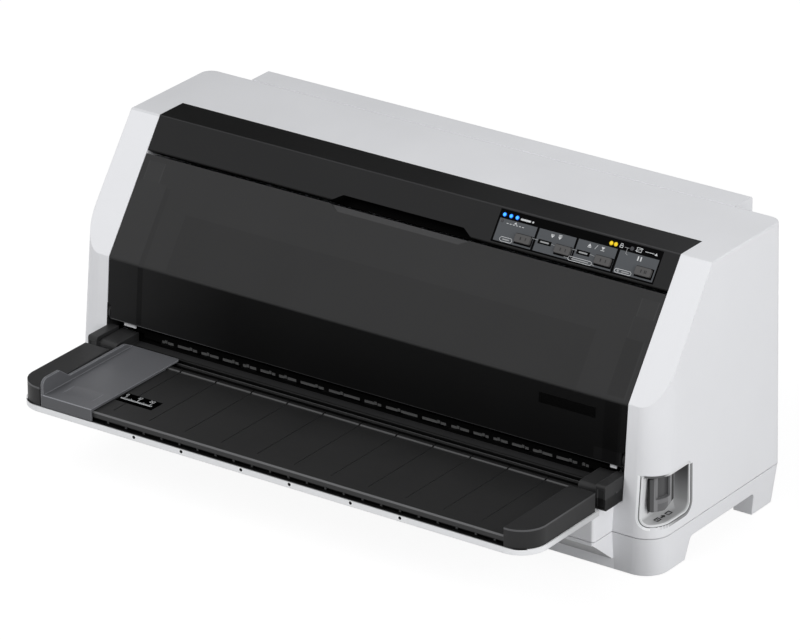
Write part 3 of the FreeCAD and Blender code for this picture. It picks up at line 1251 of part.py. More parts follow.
def left_side_frame():
    return mirrored(side_frame())


def right_side_frame():
    frame = side_frame()
    pin = rod_x(IDLER_Y, FEED_Z, IDLER_PIN_RADIUS, FRAME_INNER_X, GEAR_X + GEAR_WIDE)
    hole = rod_x(IDLER_Y, PINION_Z, MOTOR_SHAFT_RADIUS + RUN_FIT, 0, WIDTH / 2)
    return join([frame.cut(hole), pin])


def frame_screws():
    screws = []
    x = FRAME_OUTER_X + FRAME_TAB_REACH / 2
    low = FLOOR_Z + FRAME_THICK
    for y in FRAME_TAB_Y:
        screws += both_sides(rod_z(x, y, SCREW_RADIUS, low, low + SCREW_HEAD_HIGH))
    return Part.makeCompound(screws)


def guide_rail():
    inner = FRAME_INNER_X
    flange = box(-inner, inner, RAIL_Y, RAIL_Y + RAIL_THICK, RAIL_LOW_Z, RAIL_TOP_Z)
    top = box(-inner, inner, RAIL_Y, RAIL_Y + RAIL_FLANGE_WIDE, RAIL_TOP_Z - RAIL_THICK, RAIL_TOP_Z)
    return join([flange, top])


def rear_stay():
    inner = FRAME_INNER_X
    sheet = box(-inner, inner, STAY_FRONT_Y, STAY_REAR_Y, STAY_LOW_Z, STAY_TOP_Z)
    upright = box(-inner, inner, STAY_REAR_Y - STAY_THICK, STAY_REAR_Y, STAY_LOW_Z,
                  STAY_TOP_Z + CARRIAGE_MOTOR_RADIUS)
    pin = rod_z(PULLEY_X, PULLEY_Y, MOTOR_SHAFT_RADIUS, BELT_LOW_Z - PULLEY_FLANGE_THICK, STAY_LOW_Z)
    hole = rod_z(-PULLEY_X, PULLEY_Y, MOTOR_SHAFT_RADIUS + RUN_FIT, STAY_LOW_Z - OVERRUN, STAY_TOP_Z)
    return join([sheet, upright, pin]).cut(hole)


# Paper path
def roller_centres(count):
    pitch = ROLLER_PITCH * (PINCH_ROLLER_COUNT / count)
    return [pitch * (i - (count - 1) / 2) for i in range(count)]


def feed_shaft(y, right_end):
    return rod_x(y, FEED_Z, FEED_SHAFT_RADIUS, -FRAME_OUTER_X - FRAME_THICK, right_end)


def feed_rollers(y):
    rollers = []
    for x in roller_centres(FEED_ROLLER_COUNT):
        tube = rod_x(y, FEED_Z, FEED_ROLLER_RADIUS, x - FEED_ROLLER_LONG / 2,
                     x + FEED_ROLLER_LONG / 2)
        rollers.append(tube.cut(rod_x(y, FEED_Z, FEED_SHAFT_RADIUS, -WIDTH, WIDTH)))
    return Part.makeCompound(rollers)


def pinch_rollers(y):
    rollers = [rod_x(y, PINCH_Z, PINCH_AXLE_RADIUS, -FRAME_OUTER_X, FRAME_OUTER_X)]
    for x in roller_centres(PINCH_ROLLER_COUNT):
        rollers.append(rod_x(y, PINCH_Z, PINCH_ROLLER_RADIUS, x - PINCH_ROLLER_LONG / 2,
                             x + PINCH_ROLLER_LONG / 2))
    return join(rollers)


def lower_guide_plate():
    low = GUIDE_PLATE_TOP_Z - GUIDE_PLATE_THICK
    plate = box(-FRAME_INNER_X, FRAME_INNER_X, LIP_REAR_Y + SEAT_GAP, FRAME_REAR_Y,
                low, GUIDE_PLATE_TOP_Z)
    tail = box(-REAR_SLOT_HALF + WALL, REAR_SLOT_HALF - WALL, FRAME_REAR_Y, GUIDE_PLATE_REAR_Y,
               low, GUIDE_PLATE_TOP_Z)
    cutters = [box(-PLATEN_HALF - SEAT_GAP, PLATEN_HALF + SEAT_GAP,
                   PLATEN_Y - PLATEN_WIDE / 2 - SEAT_GAP, PLATEN_Y + PLATEN_WIDE / 2 + SEAT_GAP,
                   low - OVERRUN, GUIDE_PLATE_TOP_Z + OVERRUN)]
    half = FEED_ROLLER_LONG / 2 + NIP_GAP * 3
    for y in (FEED_FRONT_Y, FEED_REAR_Y):
        for x in roller_centres(FEED_ROLLER_COUNT):
            cutters.append(box(x - half, x + half, y - ROLLER_SLOT_HALF, y + ROLLER_SLOT_HALF,
                               low - OVERRUN, GUIDE_PLATE_TOP_Z + OVERRUN))
    return join([plate, tail]).cut(join(cutters))


def platen():
    half_wide = PLATEN_WIDE / 2
    low_top = GUIDE_PLATE_TOP_Z - GUIDE_PLATE_THICK - SEAT_GAP
    beam = box(-FRAME_INNER_X, FRAME_INNER_X, PLATEN_Y - half_wide, PLATEN_Y + half_wide,
               PLATEN_LOW_Z, low_top)
    strike = box(-PLATEN_HALF, PLATEN_HALF, PLATEN_Y - half_wide, PLATEN_Y + half_wide,
                 low_top, PLATEN_TOP_Z)
    return join([beam, strike])


# Gears, drawn in the Y-Z plane
def involute(angle):
    return math.tan(angle) - angle


def gear(y, z, teeth, bore, phase_deg):
    pitch = GEAR_MODULE * teeth / 2
    base = pitch * math.cos(math.radians(PRESSURE_DEG))
    tip = pitch + GEAR_MODULE * ADDENDUM_SHARE
    root = pitch - GEAR_MODULE * DEDENDUM_SHARE
    half_pitch = (math.pi * GEAR_MODULE / 2 - BACKLASH) / 2 / pitch
    pitch_turn = half_pitch + involute(math.radians(PRESSURE_DEG))

    def half_angle(radius):
        return pitch_turn - involute(math.acos(min(1, base / radius)))

    flank = [max(base, root), (max(base, root) + pitch) / 2, pitch, tip]
    sides = [(root, half_angle(flank[0]))] + [(r, half_angle(r)) for r in flank[1:]]
    points = []
    for i in range(teeth):
        middle = math.radians(phase_deg) + 2 * math.pi * i / teeth
        turns = [(r, -a) for r, a in sides] + [(r, a) for r, a in reversed(sides)]
        for radius, turn in turns:
            angle = middle + turn
            points.append(Vector(GEAR_X, y + radius * math.cos(angle), z + radius * math.sin(angle)))
    rim = Part.Face(Part.makePolygon(points + points[:1]))
    blank = rim.extrude(Vector(GEAR_WIDE, 0, 0))
    return blank.cut(rod_x(y, z, bore, GEAR_X, GEAR_X + GEAR_WIDE))


def idler_phase():
    return 360 / IDLER_TEETH / 2


def pinion_phase():
    return 360 / PINION_TEETH / 2


def motor_pinion():
    toothed = gear(IDLER_Y, PINION_Z, PINION_TEETH, MOTOR_SHAFT_RADIUS / 2, pinion_phase())
    shaft = rod_x(IDLER_Y, PINION_Z, MOTOR_SHAFT_RADIUS, FRAME_INNER_X - MOTOR_BORE_DEEP,
                  GEAR_X + GEAR_WIDE)
    return join([toothed, shaft])


def feed_motor():
    left = FRAME_INNER_X - FEED_MOTOR_LONG
    body = rod_x(IDLER_Y, PINION_Z, FEED_MOTOR_RADIUS, left, FRAME_INNER_X)
    bore = rod_x(IDLER_Y, PINION_Z, MOTOR_SHAFT_RADIUS + RUN_FIT,
                 FRAME_INNER_X - MOTOR_BORE_DEEP - SEAT_GAP, FRAME_INNER_X)
    return body.cut(bore)


# Carriage and its drive
def carriage():
    x0 = CARRIAGE_REST_X - CARRIAGE_HALF
    x1 = CARRIAGE_REST_X + CARRIAGE_HALF
    half = CARRIAGE_BLOCK_HALF
    riser_rear = CARRIAGE_RISER_Y + CARRIAGE_RISER_THICK
    roof_low = CARRIAGE_SHAFT_Z + half
    roof_top = roof_low + CARRIAGE_ROOF_THICK
    block = box(x0, x1, CARRIAGE_SHAFT_Y - half, CARRIAGE_SHAFT_Y + half,
                CARRIAGE_SHAFT_Z - half, roof_top)
    deck = box(x0, x1, CARRIAGE_DECK_FRONT_Y, riser_rear, CARRIAGE_DECK_LOW_Z, CARRIAGE_DECK_TOP_Z)
    riser = box(x0, x1, CARRIAGE_RISER_Y, riser_rear, CARRIAGE_DECK_LOW_Z, roof_top)
    roof = box(x0, x1, CARRIAGE_ROOF_FRONT_Y, riser_rear, roof_low, roof_top)
    prong_half = CARRIAGE_HALF / 2
    prongs = []
    for front in (RAIL_Y - SEAT_GAP - PRONG_THICK, RAIL_Y + RAIL_THICK + SEAT_GAP):
        prongs.append(box(CARRIAGE_REST_X - prong_half, CARRIAGE_REST_X + prong_half,
                          front, front + PRONG_THICK, roof_low, PRONG_TOP_Z))
    belt_mid_z = BELT_LOW_Z + BELT_WIDE / 2
    jaw_front = BELT_FRONT_Y - SEAT_GAP
    jaw_rear = BELT_FRONT_Y + BELT_THICK + SEAT_GAP
    clamp = box(CARRIAGE_REST_X - CLAMP_HALF, CARRIAGE_REST_X + CLAMP_HALF,
                CARRIAGE_SHAFT_Y + half, jaw_rear + CLAMP_JAW,
                belt_mid_z - BELT_WIDE / 2 - CLAMP_JAW - SEAT_GAP, belt_mid_z + BELT_WIDE / 2)
    throat = box(CARRIAGE_REST_X - WIDTH, CARRIAGE_REST_X + WIDTH, jaw_front, jaw_rear,
                 BELT_LOW_Z - SEAT_GAP, STAY_LOW_Z)
    body = join([block, deck, riser, roof, clamp.cut(throat)] + prongs)
    bore = rod_x(CARRIAGE_SHAFT_Y, CARRIAGE_SHAFT_Z, CARRIAGE_SHAFT_RADIUS + RUN_FIT, x0, x1)
    nose = rod_z(CARRIAGE_REST_X, HEAD_Y, HEAD_NOSE_RADIUS + EDGE_GAP, CARRIAGE_DECK_LOW_Z,
                 CARRIAGE_DECK_TOP_Z)
    return body.cut(join([bore, nose]))


def print_head():
    x = CARRIAGE_REST_X
    low = CARRIAGE_DECK_TOP_Z
    core = rod_z(x, HEAD_Y, HEAD_NECK_RADIUS, low, HEAD_TOP_Z)
    flange = rod_z(x, HEAD_Y, HEAD_RADIUS, low, low + HEAD_FIN_THICK)
    gap = (HEAD_TOP_Z - low - HEAD_FIN_THICK * 2) / HEAD_FIN_COUNT
    fins = []
    for i in range(HEAD_FIN_COUNT):
        z = low + HEAD_FIN_THICK + gap * (i + 1) - HEAD_FIN_THICK
        fins.append(rod_z(x, HEAD_Y, HEAD_RADIUS, z, z + HEAD_FIN_THICK))
    nose = Part.makeCone(HEAD_TIP_RADIUS, HEAD_NOSE_RADIUS, CARRIAGE_DECK_LOW_Z - HEAD_TIP_Z,
                         Vector(x, HEAD_Y, HEAD_TIP_Z), Vector(0, 0, 1))
    neck = rod_z(x, HEAD_Y, HEAD_NOSE_RADIUS, CARRIAGE_DECK_LOW_Z, low)
    return join([core, flange, nose, neck] + fins)


def carriage_shaft():
    return rod_x(CARRIAGE_SHAFT_Y, CARRIAGE_SHAFT_Z, CARRIAGE_SHAFT_RADIUS,
                 -CARRIAGE_SHAFT_END_X, CARRIAGE_SHAFT_END_X)


def ribbon_cartridge():
    body = prism("x", -CARTRIDGE_HALF, CARTRIDGE_HALF,
                 rectangle(CARTRIDGE_FRONT_Y, CARTRIDGE_REAR_Y, CARTRIDGE_LOW_Z, CARTRIDGE_TOP_Z),
                 [CARTRIDGE_RADIUS] * 4)
    arm = prism("x", CARTRIDGE_ARM_X, CARTRIDGE_ARM_X + CARTRIDGE_ARM_THICK, [
        (CARTRIDGE_FRONT_Y, CARTRIDGE_LOW_Z + CARTRIDGE_RADIUS),
        (HEAD_Y - RIBBON_HALF_Y * 1.5, CARTRIDGE_ARM_LOW_Z + CARTRIDGE_REAR_Y / 2),
        (HEAD_Y - RIBBON_HALF_Y - CARTRIDGE_RADIUS, CARTRIDGE_ARM_LOW_Z),
        (HEAD_Y + RIBBON_HALF_Y + CARTRIDGE_RADIUS, CARTRIDGE_ARM_LOW_Z),
        (HEAD_Y + RIBBON_HALF_Y + CARTRIDGE_RADIUS, CARTRIDGE_LOW_Z),
        (CARTRIDGE_REAR_Y, CARTRIDGE_TOP_Z), (CARTRIDGE_FRONT_Y, CARTRIDGE_TOP_Z)])
    link = box(CARTRIDGE_HALF - CARTRIDGE_RADIUS, CARTRIDGE_ARM_X, CARTRIDGE_FRONT_Y,
               CARTRIDGE_REAR_Y, CARTRIDGE_LOW_Z + CARTRIDGE_RADIUS,
               CARTRIDGE_TOP_Z - CARTRIDGE_RADIUS)
    tab = box(CARTRIDGE_ARM_X + CARTRIDGE_ARM_THICK, FRAME_INNER_X, FRAME_OUTLINE[3][0],
              CARTRIDGE_REAR_Y, CARTRIDGE_TAB_LOW_Z, CARTRIDGE_TAB_LOW_Z + CARTRIDGE_TAB_THICK)
    body = join([body] + both_sides(arm) + both_sides(link) + both_sides(tab))
    return body.cut(rod_z(KNOB_X, KNOB_Y, KNOB_STEM_RADIUS + RUN_FIT,
                          CARTRIDGE_TOP_Z - KNOB_STEM_LONG - SEAT_GAP, CARTRIDGE_TOP_Z + OVERRUN))


def ribbon():
    return box(-CARTRIDGE_ARM_X, CARTRIDGE_ARM_X, HEAD_Y - RIBBON_HALF_Y, HEAD_Y + RIBBON_HALF_Y,
               RIBBON_LOW_Z, RIBBON_LOW_Z + RIBBON_THICK)


def ribbon_knob():
    low = CARTRIDGE_TOP_Z + SEAT_GAP
    top = low + KNOB_HIGH
    parts = [rod_z(KNOB_X, KNOB_Y, KNOB_RADIUS - KNOB_RIB_RADIUS, low, top),
             rod_z(KNOB_X, KNOB_Y, KNOB_STEM_RADIUS, CARTRIDGE_TOP_Z - KNOB_STEM_LONG, low)]
    ring = KNOB_RADIUS - KNOB_RIB_RADIUS
    for i in range(KNOB_RIB_COUNT):
        angle = 2 * math.pi * i / KNOB_RIB_COUNT
        parts.append(rod_z(KNOB_X + ring * math.cos(angle), KNOB_Y + ring * math.sin(angle),
                           KNOB_RIB_RADIUS, low, top))
    return join(parts)


def pulley(x, bore):
    low = BELT_LOW_Z - SEAT_GAP
    top = BELT_LOW_Z + BELT_WIDE + SEAT_GAP
    drum = rod_z(x, PULLEY_Y, PULLEY_RADIUS, low, top)
    flanges = [rod_z(x, PULLEY_Y, PULLEY_FLANGE_RADIUS, low - PULLEY_FLANGE_THICK, low),
               rod_z(x, PULLEY_Y, PULLEY_FLANGE_RADIUS, top, top + PULLEY_FLANGE_THICK)]
    body = join([drum] + flanges)
    if bore:
        body = body.cut(rod_z(x, PULLEY_Y, bore, low - OVERRUN, top + OVERRUN))
    return body


def drive_pulley():
    shaft = rod_z(-PULLEY_X, PULLEY_Y, MOTOR_SHAFT_RADIUS, BELT_LOW_Z, STAY_TOP_Z + MOTOR_BORE_DEEP)
    return join([pulley(-PULLEY_X, 0), shaft])


def idler_pulley():
    return pulley(PULLEY_X, MOTOR_SHAFT_RADIUS + RUN_FIT)


def belt_loop(radius):
    low = BELT_LOW_Z
    top = BELT_LOW_Z + BELT_WIDE
    return join([box(-PULLEY_X, PULLEY_X, PULLEY_Y - radius, PULLEY_Y + radius, low, top),
                 rod_z(-PULLEY_X, PULLEY_Y, radius, low, top),
                 rod_z(PULLEY_X, PULLEY_Y, radius, low, top)])


def timing_belt():
    inner = PULLEY_RADIUS + SEAT_GAP
    return belt_loop(inner + BELT_THICK).cut(belt_loop(inner))


def carriage_motor():
    body = rod_z(-PULLEY_X, PULLEY_Y, CARRIAGE_MOTOR_RADIUS, STAY_TOP_Z,
                 STAY_TOP_Z + CARRIAGE_MOTOR_HIGH)
    bore = rod_z(-PULLEY_X, PULLEY_Y, MOTOR_SHAFT_RADIUS + RUN_FIT, STAY_TOP_Z,
                 STAY_TOP_Z + MOTOR_BORE_DEEP + SEAT_GAP)
    return body.cut(bore)


# Electronics on the base
def main_board():
    low = FLOOR_Z + BOARD_LIFT
    top = low + BOARD_THICK
    board = box(MAIN_BOARD_X[0], MAIN_BOARD_X[1], MAIN_BOARD_Y[0], MAIN_BOARD_Y[1], low, top)
    parts = [board]
    step = (MAIN_BOARD_X[1] - MAIN_BOARD_X[0]) / 5
    for i in range(1, 4):
        x = MAIN_BOARD_X[0] + step * i
        y = (MAIN_BOARD_Y[0] + MAIN_BOARD_Y[1]) / 2
        parts.append(box(x - CHIP_SIZE / 2, x + CHIP_SIZE / 2, y - CHIP_SIZE / 2,
                         y + CHIP_SIZE / 2, top, top + CHIP_HIGH))
    sink_x = MAIN_BOARD_X[1] - step
    parts.append(box(sink_x, sink_x + HEATSINK_WIDE, MAIN_BOARD_Y[0] + CHIP_SIZE / 2,
                     MAIN_BOARD_Y[1] - CHIP_SIZE, top, top + HEATSINK_HIGH))
    return join(parts)


def power_supply():
    low = FLOOR_Z + BOARD_LIFT
    top = low + BOARD_THICK
    board = box(SUPPLY_X[0], SUPPLY_X[1], SUPPLY_Y[0], SUPPLY_Y[1], low, top)
    middle = (SUPPLY_Y[0] + SUPPLY_Y[1]) / 2
    x = SUPPLY_X[0] + TRANSFORMER_SIZE
    half = TRANSFORMER_SIZE / 2
    transformer = box(x - half, x + half, middle - half, middle + half, top, top + TRANSFORMER_HIGH)
    caps = []
    for i in range(1, 3):
        cap_x = SUPPLY_X[1] - CAPACITOR_RADIUS * 2.4 * i + CAPACITOR_RADIUS
        caps.append(rod_z(cap_x, middle, CAPACITOR_RADIUS, top, top + CAPACITOR_HIGH))
    return join([board, transformer] + caps)


def all_pieces():
    pieces = {
        "base_casing": base_casing(),
        "rubber_feet": Part.makeCompound(foot_pads(PAD_RECESS, 0)),
        "main_housing": main_housing(),
        "rear_cover": rear_cover(),
        "front_band": join([front_band(), panel_stand()]),
        "control_panel": control_panel(),
        "indicator_lights": indicator_lights(),
        "control_board": control_board(),
        "printer_cover": printer_cover(),
        "cover_hinge_pins": cover_hinge_pins(),
        "front_frame": front_frame(),
        "lever_pocket": lever_pocket(),
        "release_lever": release_lever(),
        "lever_pivot_pin": lever_pivot_pin(),
        "table_tray": table_tray(),
        "table_plate": table_plate(),
        "table_block_left": mirrored(table_block_right()),
        "table_block_right": table_block_right(),
        "edge_guide": edge_guide(),
        "scale_label": scale_label(),
        "ac_inlet": ac_inlet(),
        "power_switch_housing": power_switch_housing(),
        "power_rocker": power_rocker(),
        "parallel_port": port_tongue(PORT_X, PORT_WIDE, PORT_HIGH, 0.8),
        "usb_port": port_tongue(USB_X, USB_WIDE, USB_HIGH, 0.4),
        "left_side_frame": left_side_frame(),
        "right_side_frame": right_side_frame(),
        "frame_screws": frame_screws(),
        "guide_rail": guide_rail(),
        "rear_stay": rear_stay(),
        "carriage_shaft": carriage_shaft(),
        "carriage": carriage(),
        "print_head": print_head(),
        "ribbon_cartridge": ribbon_cartridge(),
        "ribbon": ribbon(),
        "ribbon_knob": ribbon_knob(),
        "platen": platen(),
        "lower_guide_plate": lower_guide_plate(),
        "front_feed_shaft": feed_shaft(FEED_FRONT_Y, GEAR_X + GEAR_WIDE),
        "front_feed_rollers": feed_rollers(FEED_FRONT_Y),
        "front_pinch_rollers": pinch_rollers(FEED_FRONT_Y),
        "rear_feed_shaft": feed_shaft(FEED_REAR_Y, GEAR_X + GEAR_WIDE),
        "rear_feed_rollers": feed_rollers(FEED_REAR_Y),
        "rear_pinch_rollers": pinch_rollers(FEED_REAR_Y),
        "front_feed_gear": gear(FEED_FRONT_Y, FEED_Z, FEED_TEETH, FEED_SHAFT_RADIUS, 0),
        "idler_gear": gear(IDLER_Y, FEED_Z, IDLER_TEETH, IDLER_PIN_RADIUS + RUN_FIT, idler_phase()),
        "rear_feed_gear": gear(FEED_REAR_Y, FEED_Z, FEED_TEETH, FEED_SHAFT_RADIUS, 0),
        "motor_pinion": motor_pinion(),
        "feed_motor": feed_motor(),
        "carriage_motor": carriage_motor(),
        "drive_pulley": drive_pulley(),
        "idler_pulley": idler_pulley(),
        "timing_belt": timing_belt(),
        "main_board": main_board(),
        "power_supply": power_supply(),
    }
    for i in range(BUTTON_COUNT):
        pieces["panel_button_%d" % (i + 1)] = panel_button(i)
    return pieces


os.makedirs("parts", exist_ok=True)
for name, shape in all_pieces().items():
    shape = shape.copy()
    shape.translate(Vector(0, -CENTRE_Y, 0))
    shape.exportStep("parts/" + name + ".step")
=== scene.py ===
import json
import math
import bpy
import bmesh
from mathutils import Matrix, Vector


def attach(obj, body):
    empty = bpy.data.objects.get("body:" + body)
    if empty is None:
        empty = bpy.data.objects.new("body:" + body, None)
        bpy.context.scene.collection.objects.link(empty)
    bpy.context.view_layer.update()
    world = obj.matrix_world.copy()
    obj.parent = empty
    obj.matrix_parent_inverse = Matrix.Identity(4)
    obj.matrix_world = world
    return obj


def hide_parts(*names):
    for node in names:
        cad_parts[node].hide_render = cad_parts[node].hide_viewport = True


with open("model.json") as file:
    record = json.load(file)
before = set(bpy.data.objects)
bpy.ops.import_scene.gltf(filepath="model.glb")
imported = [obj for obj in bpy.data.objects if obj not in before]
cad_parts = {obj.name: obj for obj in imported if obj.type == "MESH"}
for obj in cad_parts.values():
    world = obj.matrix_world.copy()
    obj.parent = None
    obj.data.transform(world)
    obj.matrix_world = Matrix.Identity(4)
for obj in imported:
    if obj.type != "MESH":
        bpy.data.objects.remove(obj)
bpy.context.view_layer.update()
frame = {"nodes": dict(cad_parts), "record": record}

MM = 0.001
# From the casing's own Y, which starts at its front, to the frame's
SHIFT_Y = -42.4

# Where the photograph was taken from
AZIMUTH = math.radians(34.908)
ELEVATION = math.radians(23.915)

# The front's slope, as Y and Z in millimetres in the casing's own Y
SLOPE_FOOT = (8.152, 136.7)
SLOPE_TOP = (77.3, 233.4)
slope_run = SLOPE_TOP[0] - SLOPE_FOOT[0]
slope_rise = SLOPE_TOP[1] - SLOPE_FOOT[1]
slope_long = math.hypot(slope_run, slope_rise)
SLOPE_UP = (slope_run / slope_long, slope_rise / slope_long)


def slope_point(x, s, out):
    """A point above the slope: x across, s up it and out from it, in millimetres."""
    y = SLOPE_FOOT[0] + s * SLOPE_UP[0] - out * SLOPE_UP[1]
    z = SLOPE_FOOT[1] + s * SLOPE_UP[1] + out * SLOPE_UP[0]
    return Vector((x, y + SHIFT_Y, z)) * MM


# The ways that materials measure along, each with where it starts from, in metres
AXES = {
    "across": ((1.0, 0.0, 0.0), (0.0, 0.0, 0.0)),
    "depth": ((0.0, 1.0, 0.0), (0.0, 0.0, 0.0)),
    "height": ((0.0, 0.0, 1.0), (0.0, 0.0, 0.0)),
    "up_slope": ((0.0, SLOPE_UP[0], SLOPE_UP[1]), slope_point(0, 0, 0)),
    "out_of_slope": ((0.0, -SLOPE_UP[1], SLOPE_UP[0]), slope_point(0, 0, 0)),
    "out_of_undercut": ((0.0, 0.617, 0.787), (0.0, -0.0674, 0.0302)),
    "sideways": ((math.cos(AZIMUTH), math.sin(AZIMUTH), 0.0), (0.0, 0.0, 0.0)),
}
# How far a softened normal leaves the face's own where an edge's painted light starts and is full
EDGE_STARTS = 0.995
EDGE_FULL = 0.9


# Materials
class Nodes:
    """A material's node tree, with short ways to add and join nodes."""

    def __init__(self, name):
        self.material = bpy.data.materials.new(name)
        self.material.use_nodes = True
        self.tree = self.material.node_tree
        self.shader = self.tree.nodes["Principled BSDF"]
        self.coords = self.add("ShaderNodeTexCoord").outputs["Object"]
        self.colour = None
        self.soft_normal = None
        self.places = {}

    def add(self, kind, **values):
        node = self.tree.nodes.new(kind)
        for key, value in values.items():
            setattr(node, key, value)
        return node

    def join(self, source, target):
        self.tree.links.new(source, target)

    def noise(self, scale, detail=3.0, stretch=None):
        noise = self.add("ShaderNodeTexNoise")
        noise.inputs["Scale"].default_value = scale
        noise.inputs["Detail"].default_value = detail
        source = self.coords
        if stretch:
            mapping = self.add("ShaderNodeMapping")
            mapping.inputs["Scale"].default_value = stretch
            self.join(source, mapping.inputs["Vector"])
            source = mapping.outputs["Vector"]
        self.join(source, noise.inputs["Vector"])
        return noise.outputs["Fac"]

    def between(self, value, low, high, at_low, at_high):
        """Runs from one level to another between two limits and stays level outside them."""
        spread = self.add("ShaderNodeMapRange")
        spread.inputs["From Min"].default_value = low
        spread.inputs["From Max"].default_value = high
        spread.inputs["To Min"].default_value = at_low
        spread.inputs["To Max"].default_value = at_high
        self.join(value, spread.inputs["Value"])
        return spread.outputs["Result"]

    def tint(self, value, dark, light):
        """A colour that runs from dark to light over the middle of a noise."""
        ramp = self.add("ShaderNodeValToRGB")
        ramp.color_ramp.elements[0].position = 0.3
        ramp.color_ramp.elements[1].position = 0.7
        ramp.color_ramp.elements[0].color = dark + (1.0,)
        ramp.color_ramp.elements[1].color = light + (1.0,)
        self.join(value, ramp.inputs["Fac"])
        return ramp.outputs["Color"]

    def bump(self, value, distance, normal=None):
        bump = self.add("ShaderNodeBump")
        bump.inputs["Strength"].default_value = 1.0
        bump.inputs["Distance"].default_value = distance
        self.join(value, bump.inputs["Height"])
        if normal:
            self.join(normal, bump.inputs["Normal"])
        return bump.outputs["Normal"]

    def along(self, direction, origin):
        """How far a point lies from an origin, along a direction, in metres."""
        dot = self.add("ShaderNodeVectorMath", operation="DOT_PRODUCT")
        self.join(self.coords, dot.inputs[0])
        dot.inputs[1].default_value = direction
        shift = self.add("ShaderNodeMath", operation="SUBTRACT")
        self.join(dot.outputs["Value"], shift.inputs[0])
        shift.inputs[1].default_value = Vector(direction).dot(Vector(origin))
        return shift.outputs[0]

    def place(self, axis):
        """How far a point lies along one of the axes, in metres."""
        if axis not in self.places:
            self.places[axis] = self.along(*AXES[axis])
        return self.places[axis]

    def fade(self, axis, low, high, at_low, at_high):
        """Runs from one level to another between two places on an axis, in millimetres."""
        return self.between(self.place(axis), low * MM, high * MM, at_low, at_high)

    def within(self, value, low, high):
        """One between two limits and zero outside them."""
        inside = self.add("ShaderNodeMath", operation="COMPARE")
        self.join(value, inside.inputs[0])
        inside.inputs[1].default_value = (low + high) / 2
        inside.inputs[2].default_value = (high - low) / 2
        return inside.outputs[0]

    def times(self, first, second):
        product = self.add("ShaderNodeMath", operation="MULTIPLY")
        self.join(first, product.inputs[0])
        self.join(second, product.inputs[1])
        return product.outputs[0]

    def where(self, **limits):
        """One inside all the limits on the named axes, in millimetres, and zero outside."""
        inside = None
        for axis, (low, high) in limits.items():
            part = self.within(self.place(axis), low * MM, high * MM)
            inside = part if inside is None else self.times(inside, part)
        return inside

    def level(self, inside, level, outside=1.0):
        """One level where a mask is one, and another where it is zero."""
        return self.between(inside, 0.0, 1.0, outside, level)

    def blended(self, inside, value):
        """A value where a mask is one, and one where it is zero."""
        less = self.add("ShaderNodeMath", operation="SUBTRACT")
        self.join(value, less.inputs[0])
        less.inputs[1].default_value = 1.0
        mixed = self.add("ShaderNodeMath", operation="MULTIPLY_ADD")
        self.join(inside, mixed.inputs[0])
        self.join(less.outputs[0], mixed.inputs[1])
        mixed.inputs[2].default_value = 1.0
        return mixed.outputs[0]

    def tone(self, value):
        """Makes the colour lighter or darker by a value."""
        scale = self.add("ShaderNodeVectorMath", operation="SCALE")
        self.join(self.colour, scale.inputs[0])
        self.join(value, scale.inputs["Scale"])
        self.colour = scale.outputs["Vector"]
        self.join(self.colour, self.shader.inputs["Base Color"])

    def shade(self, level, **limits):
        """Makes the colour lighter or darker inside limits in millimetres."""
        self.tone(self.level(self.where(**limits), level))

    def paint_edge_light(self, level):
        """Painted edge light: scales the colour by a level where the softened normal leaves the
        face's own, a highlight above one and shade below it.
        """
        geometry = self.add("ShaderNodeNewGeometry")
        dot = self.add("ShaderNodeVectorMath", operation="DOT_PRODUCT")
        self.join(geometry.outputs["Normal"], dot.inputs[0])
        self.join(self.soft_normal, dot.inputs[1])
        self.tone(self.between(dot.outputs["Value"], EDGE_STARTS, EDGE_FULL, 1.0, level))


def scaled(colour, share):
    return tuple(min(1.0, channel * share) for channel in colour)


# How much of its glow a lamp's lens has at its rim
LENS_RIM_SHARE = 0.25
# How much the fine grain adds to the broad noise in the roughness, and that sum's range
FINE_SHARE = 0.4
NOISE_LOW = 0.3
NOISE_HIGH = 0.9


def surface(name, colour, roughness, specular=0.5, vary=0.06, rough_vary=0.08, grain=2600.0,
            grain_depth=0.00002, blotch=14.0, metallic=0.0, edge=0.0, edge_paint_level=1.0,
            stretch=None, alpha=1.0):
    """A material with colour and roughness that vary, a fine grain, softened edges and painted
    edge light where a level other than one is given.
    """
    n = Nodes(name)
    broad = n.noise(blotch, 4.0)
    fine = n.noise(grain, 2.0, stretch)
    n.colour = n.tint(broad, scaled(colour, 1 - vary), scaled(colour, 1 + vary))
    n.join(n.colour, n.shader.inputs["Base Color"])
    mixed = n.add("ShaderNodeMath", operation="MULTIPLY_ADD")
    n.join(fine, mixed.inputs[0])
    mixed.inputs[1].default_value = FINE_SHARE
    n.join(broad, mixed.inputs[2])
    rough_low = max(0.02, roughness - rough_vary)
    rough_high = min(1.0, roughness + rough_vary)
    n.join(n.between(mixed.outputs[0], NOISE_LOW, NOISE_HIGH, rough_low, rough_high),
           n.shader.inputs["Roughness"])
    if edge:
        bevel = n.add("ShaderNodeBevel", samples=6)
        bevel.inputs["Radius"].default_value = edge
        n.soft_normal = bevel.outputs["Normal"]
        if edge_paint_level != 1.0:
            n.paint_edge_light(edge_paint_level)
    n.join(n.bump(fine, grain_depth, n.soft_normal), n.shader.inputs["Normal"])
    n.shader.inputs["Specular IOR Level"].default_value = specular
    n.shader.inputs["Metallic"].default_value = metallic
    n.shader.inputs["Alpha"].default_value = alpha
    return n


def lamp_material(name, colour, glow, centre=None):
    """A lens that glows most at its raised centre."""
    n = surface(name, colour, 0.2, grain=1500.0)
    raised = n.fade("out_of_slope", 0.1, 0.36, 0.0, 1.0)
    n.join(n.tint(raised, colour, centre or colour), n.shader.inputs["Emission Color"])
    n.join(n.level(raised, glow, glow * LENS_RIM_SHARE), n.shader.inputs["Emission Strength"])
    return n.material


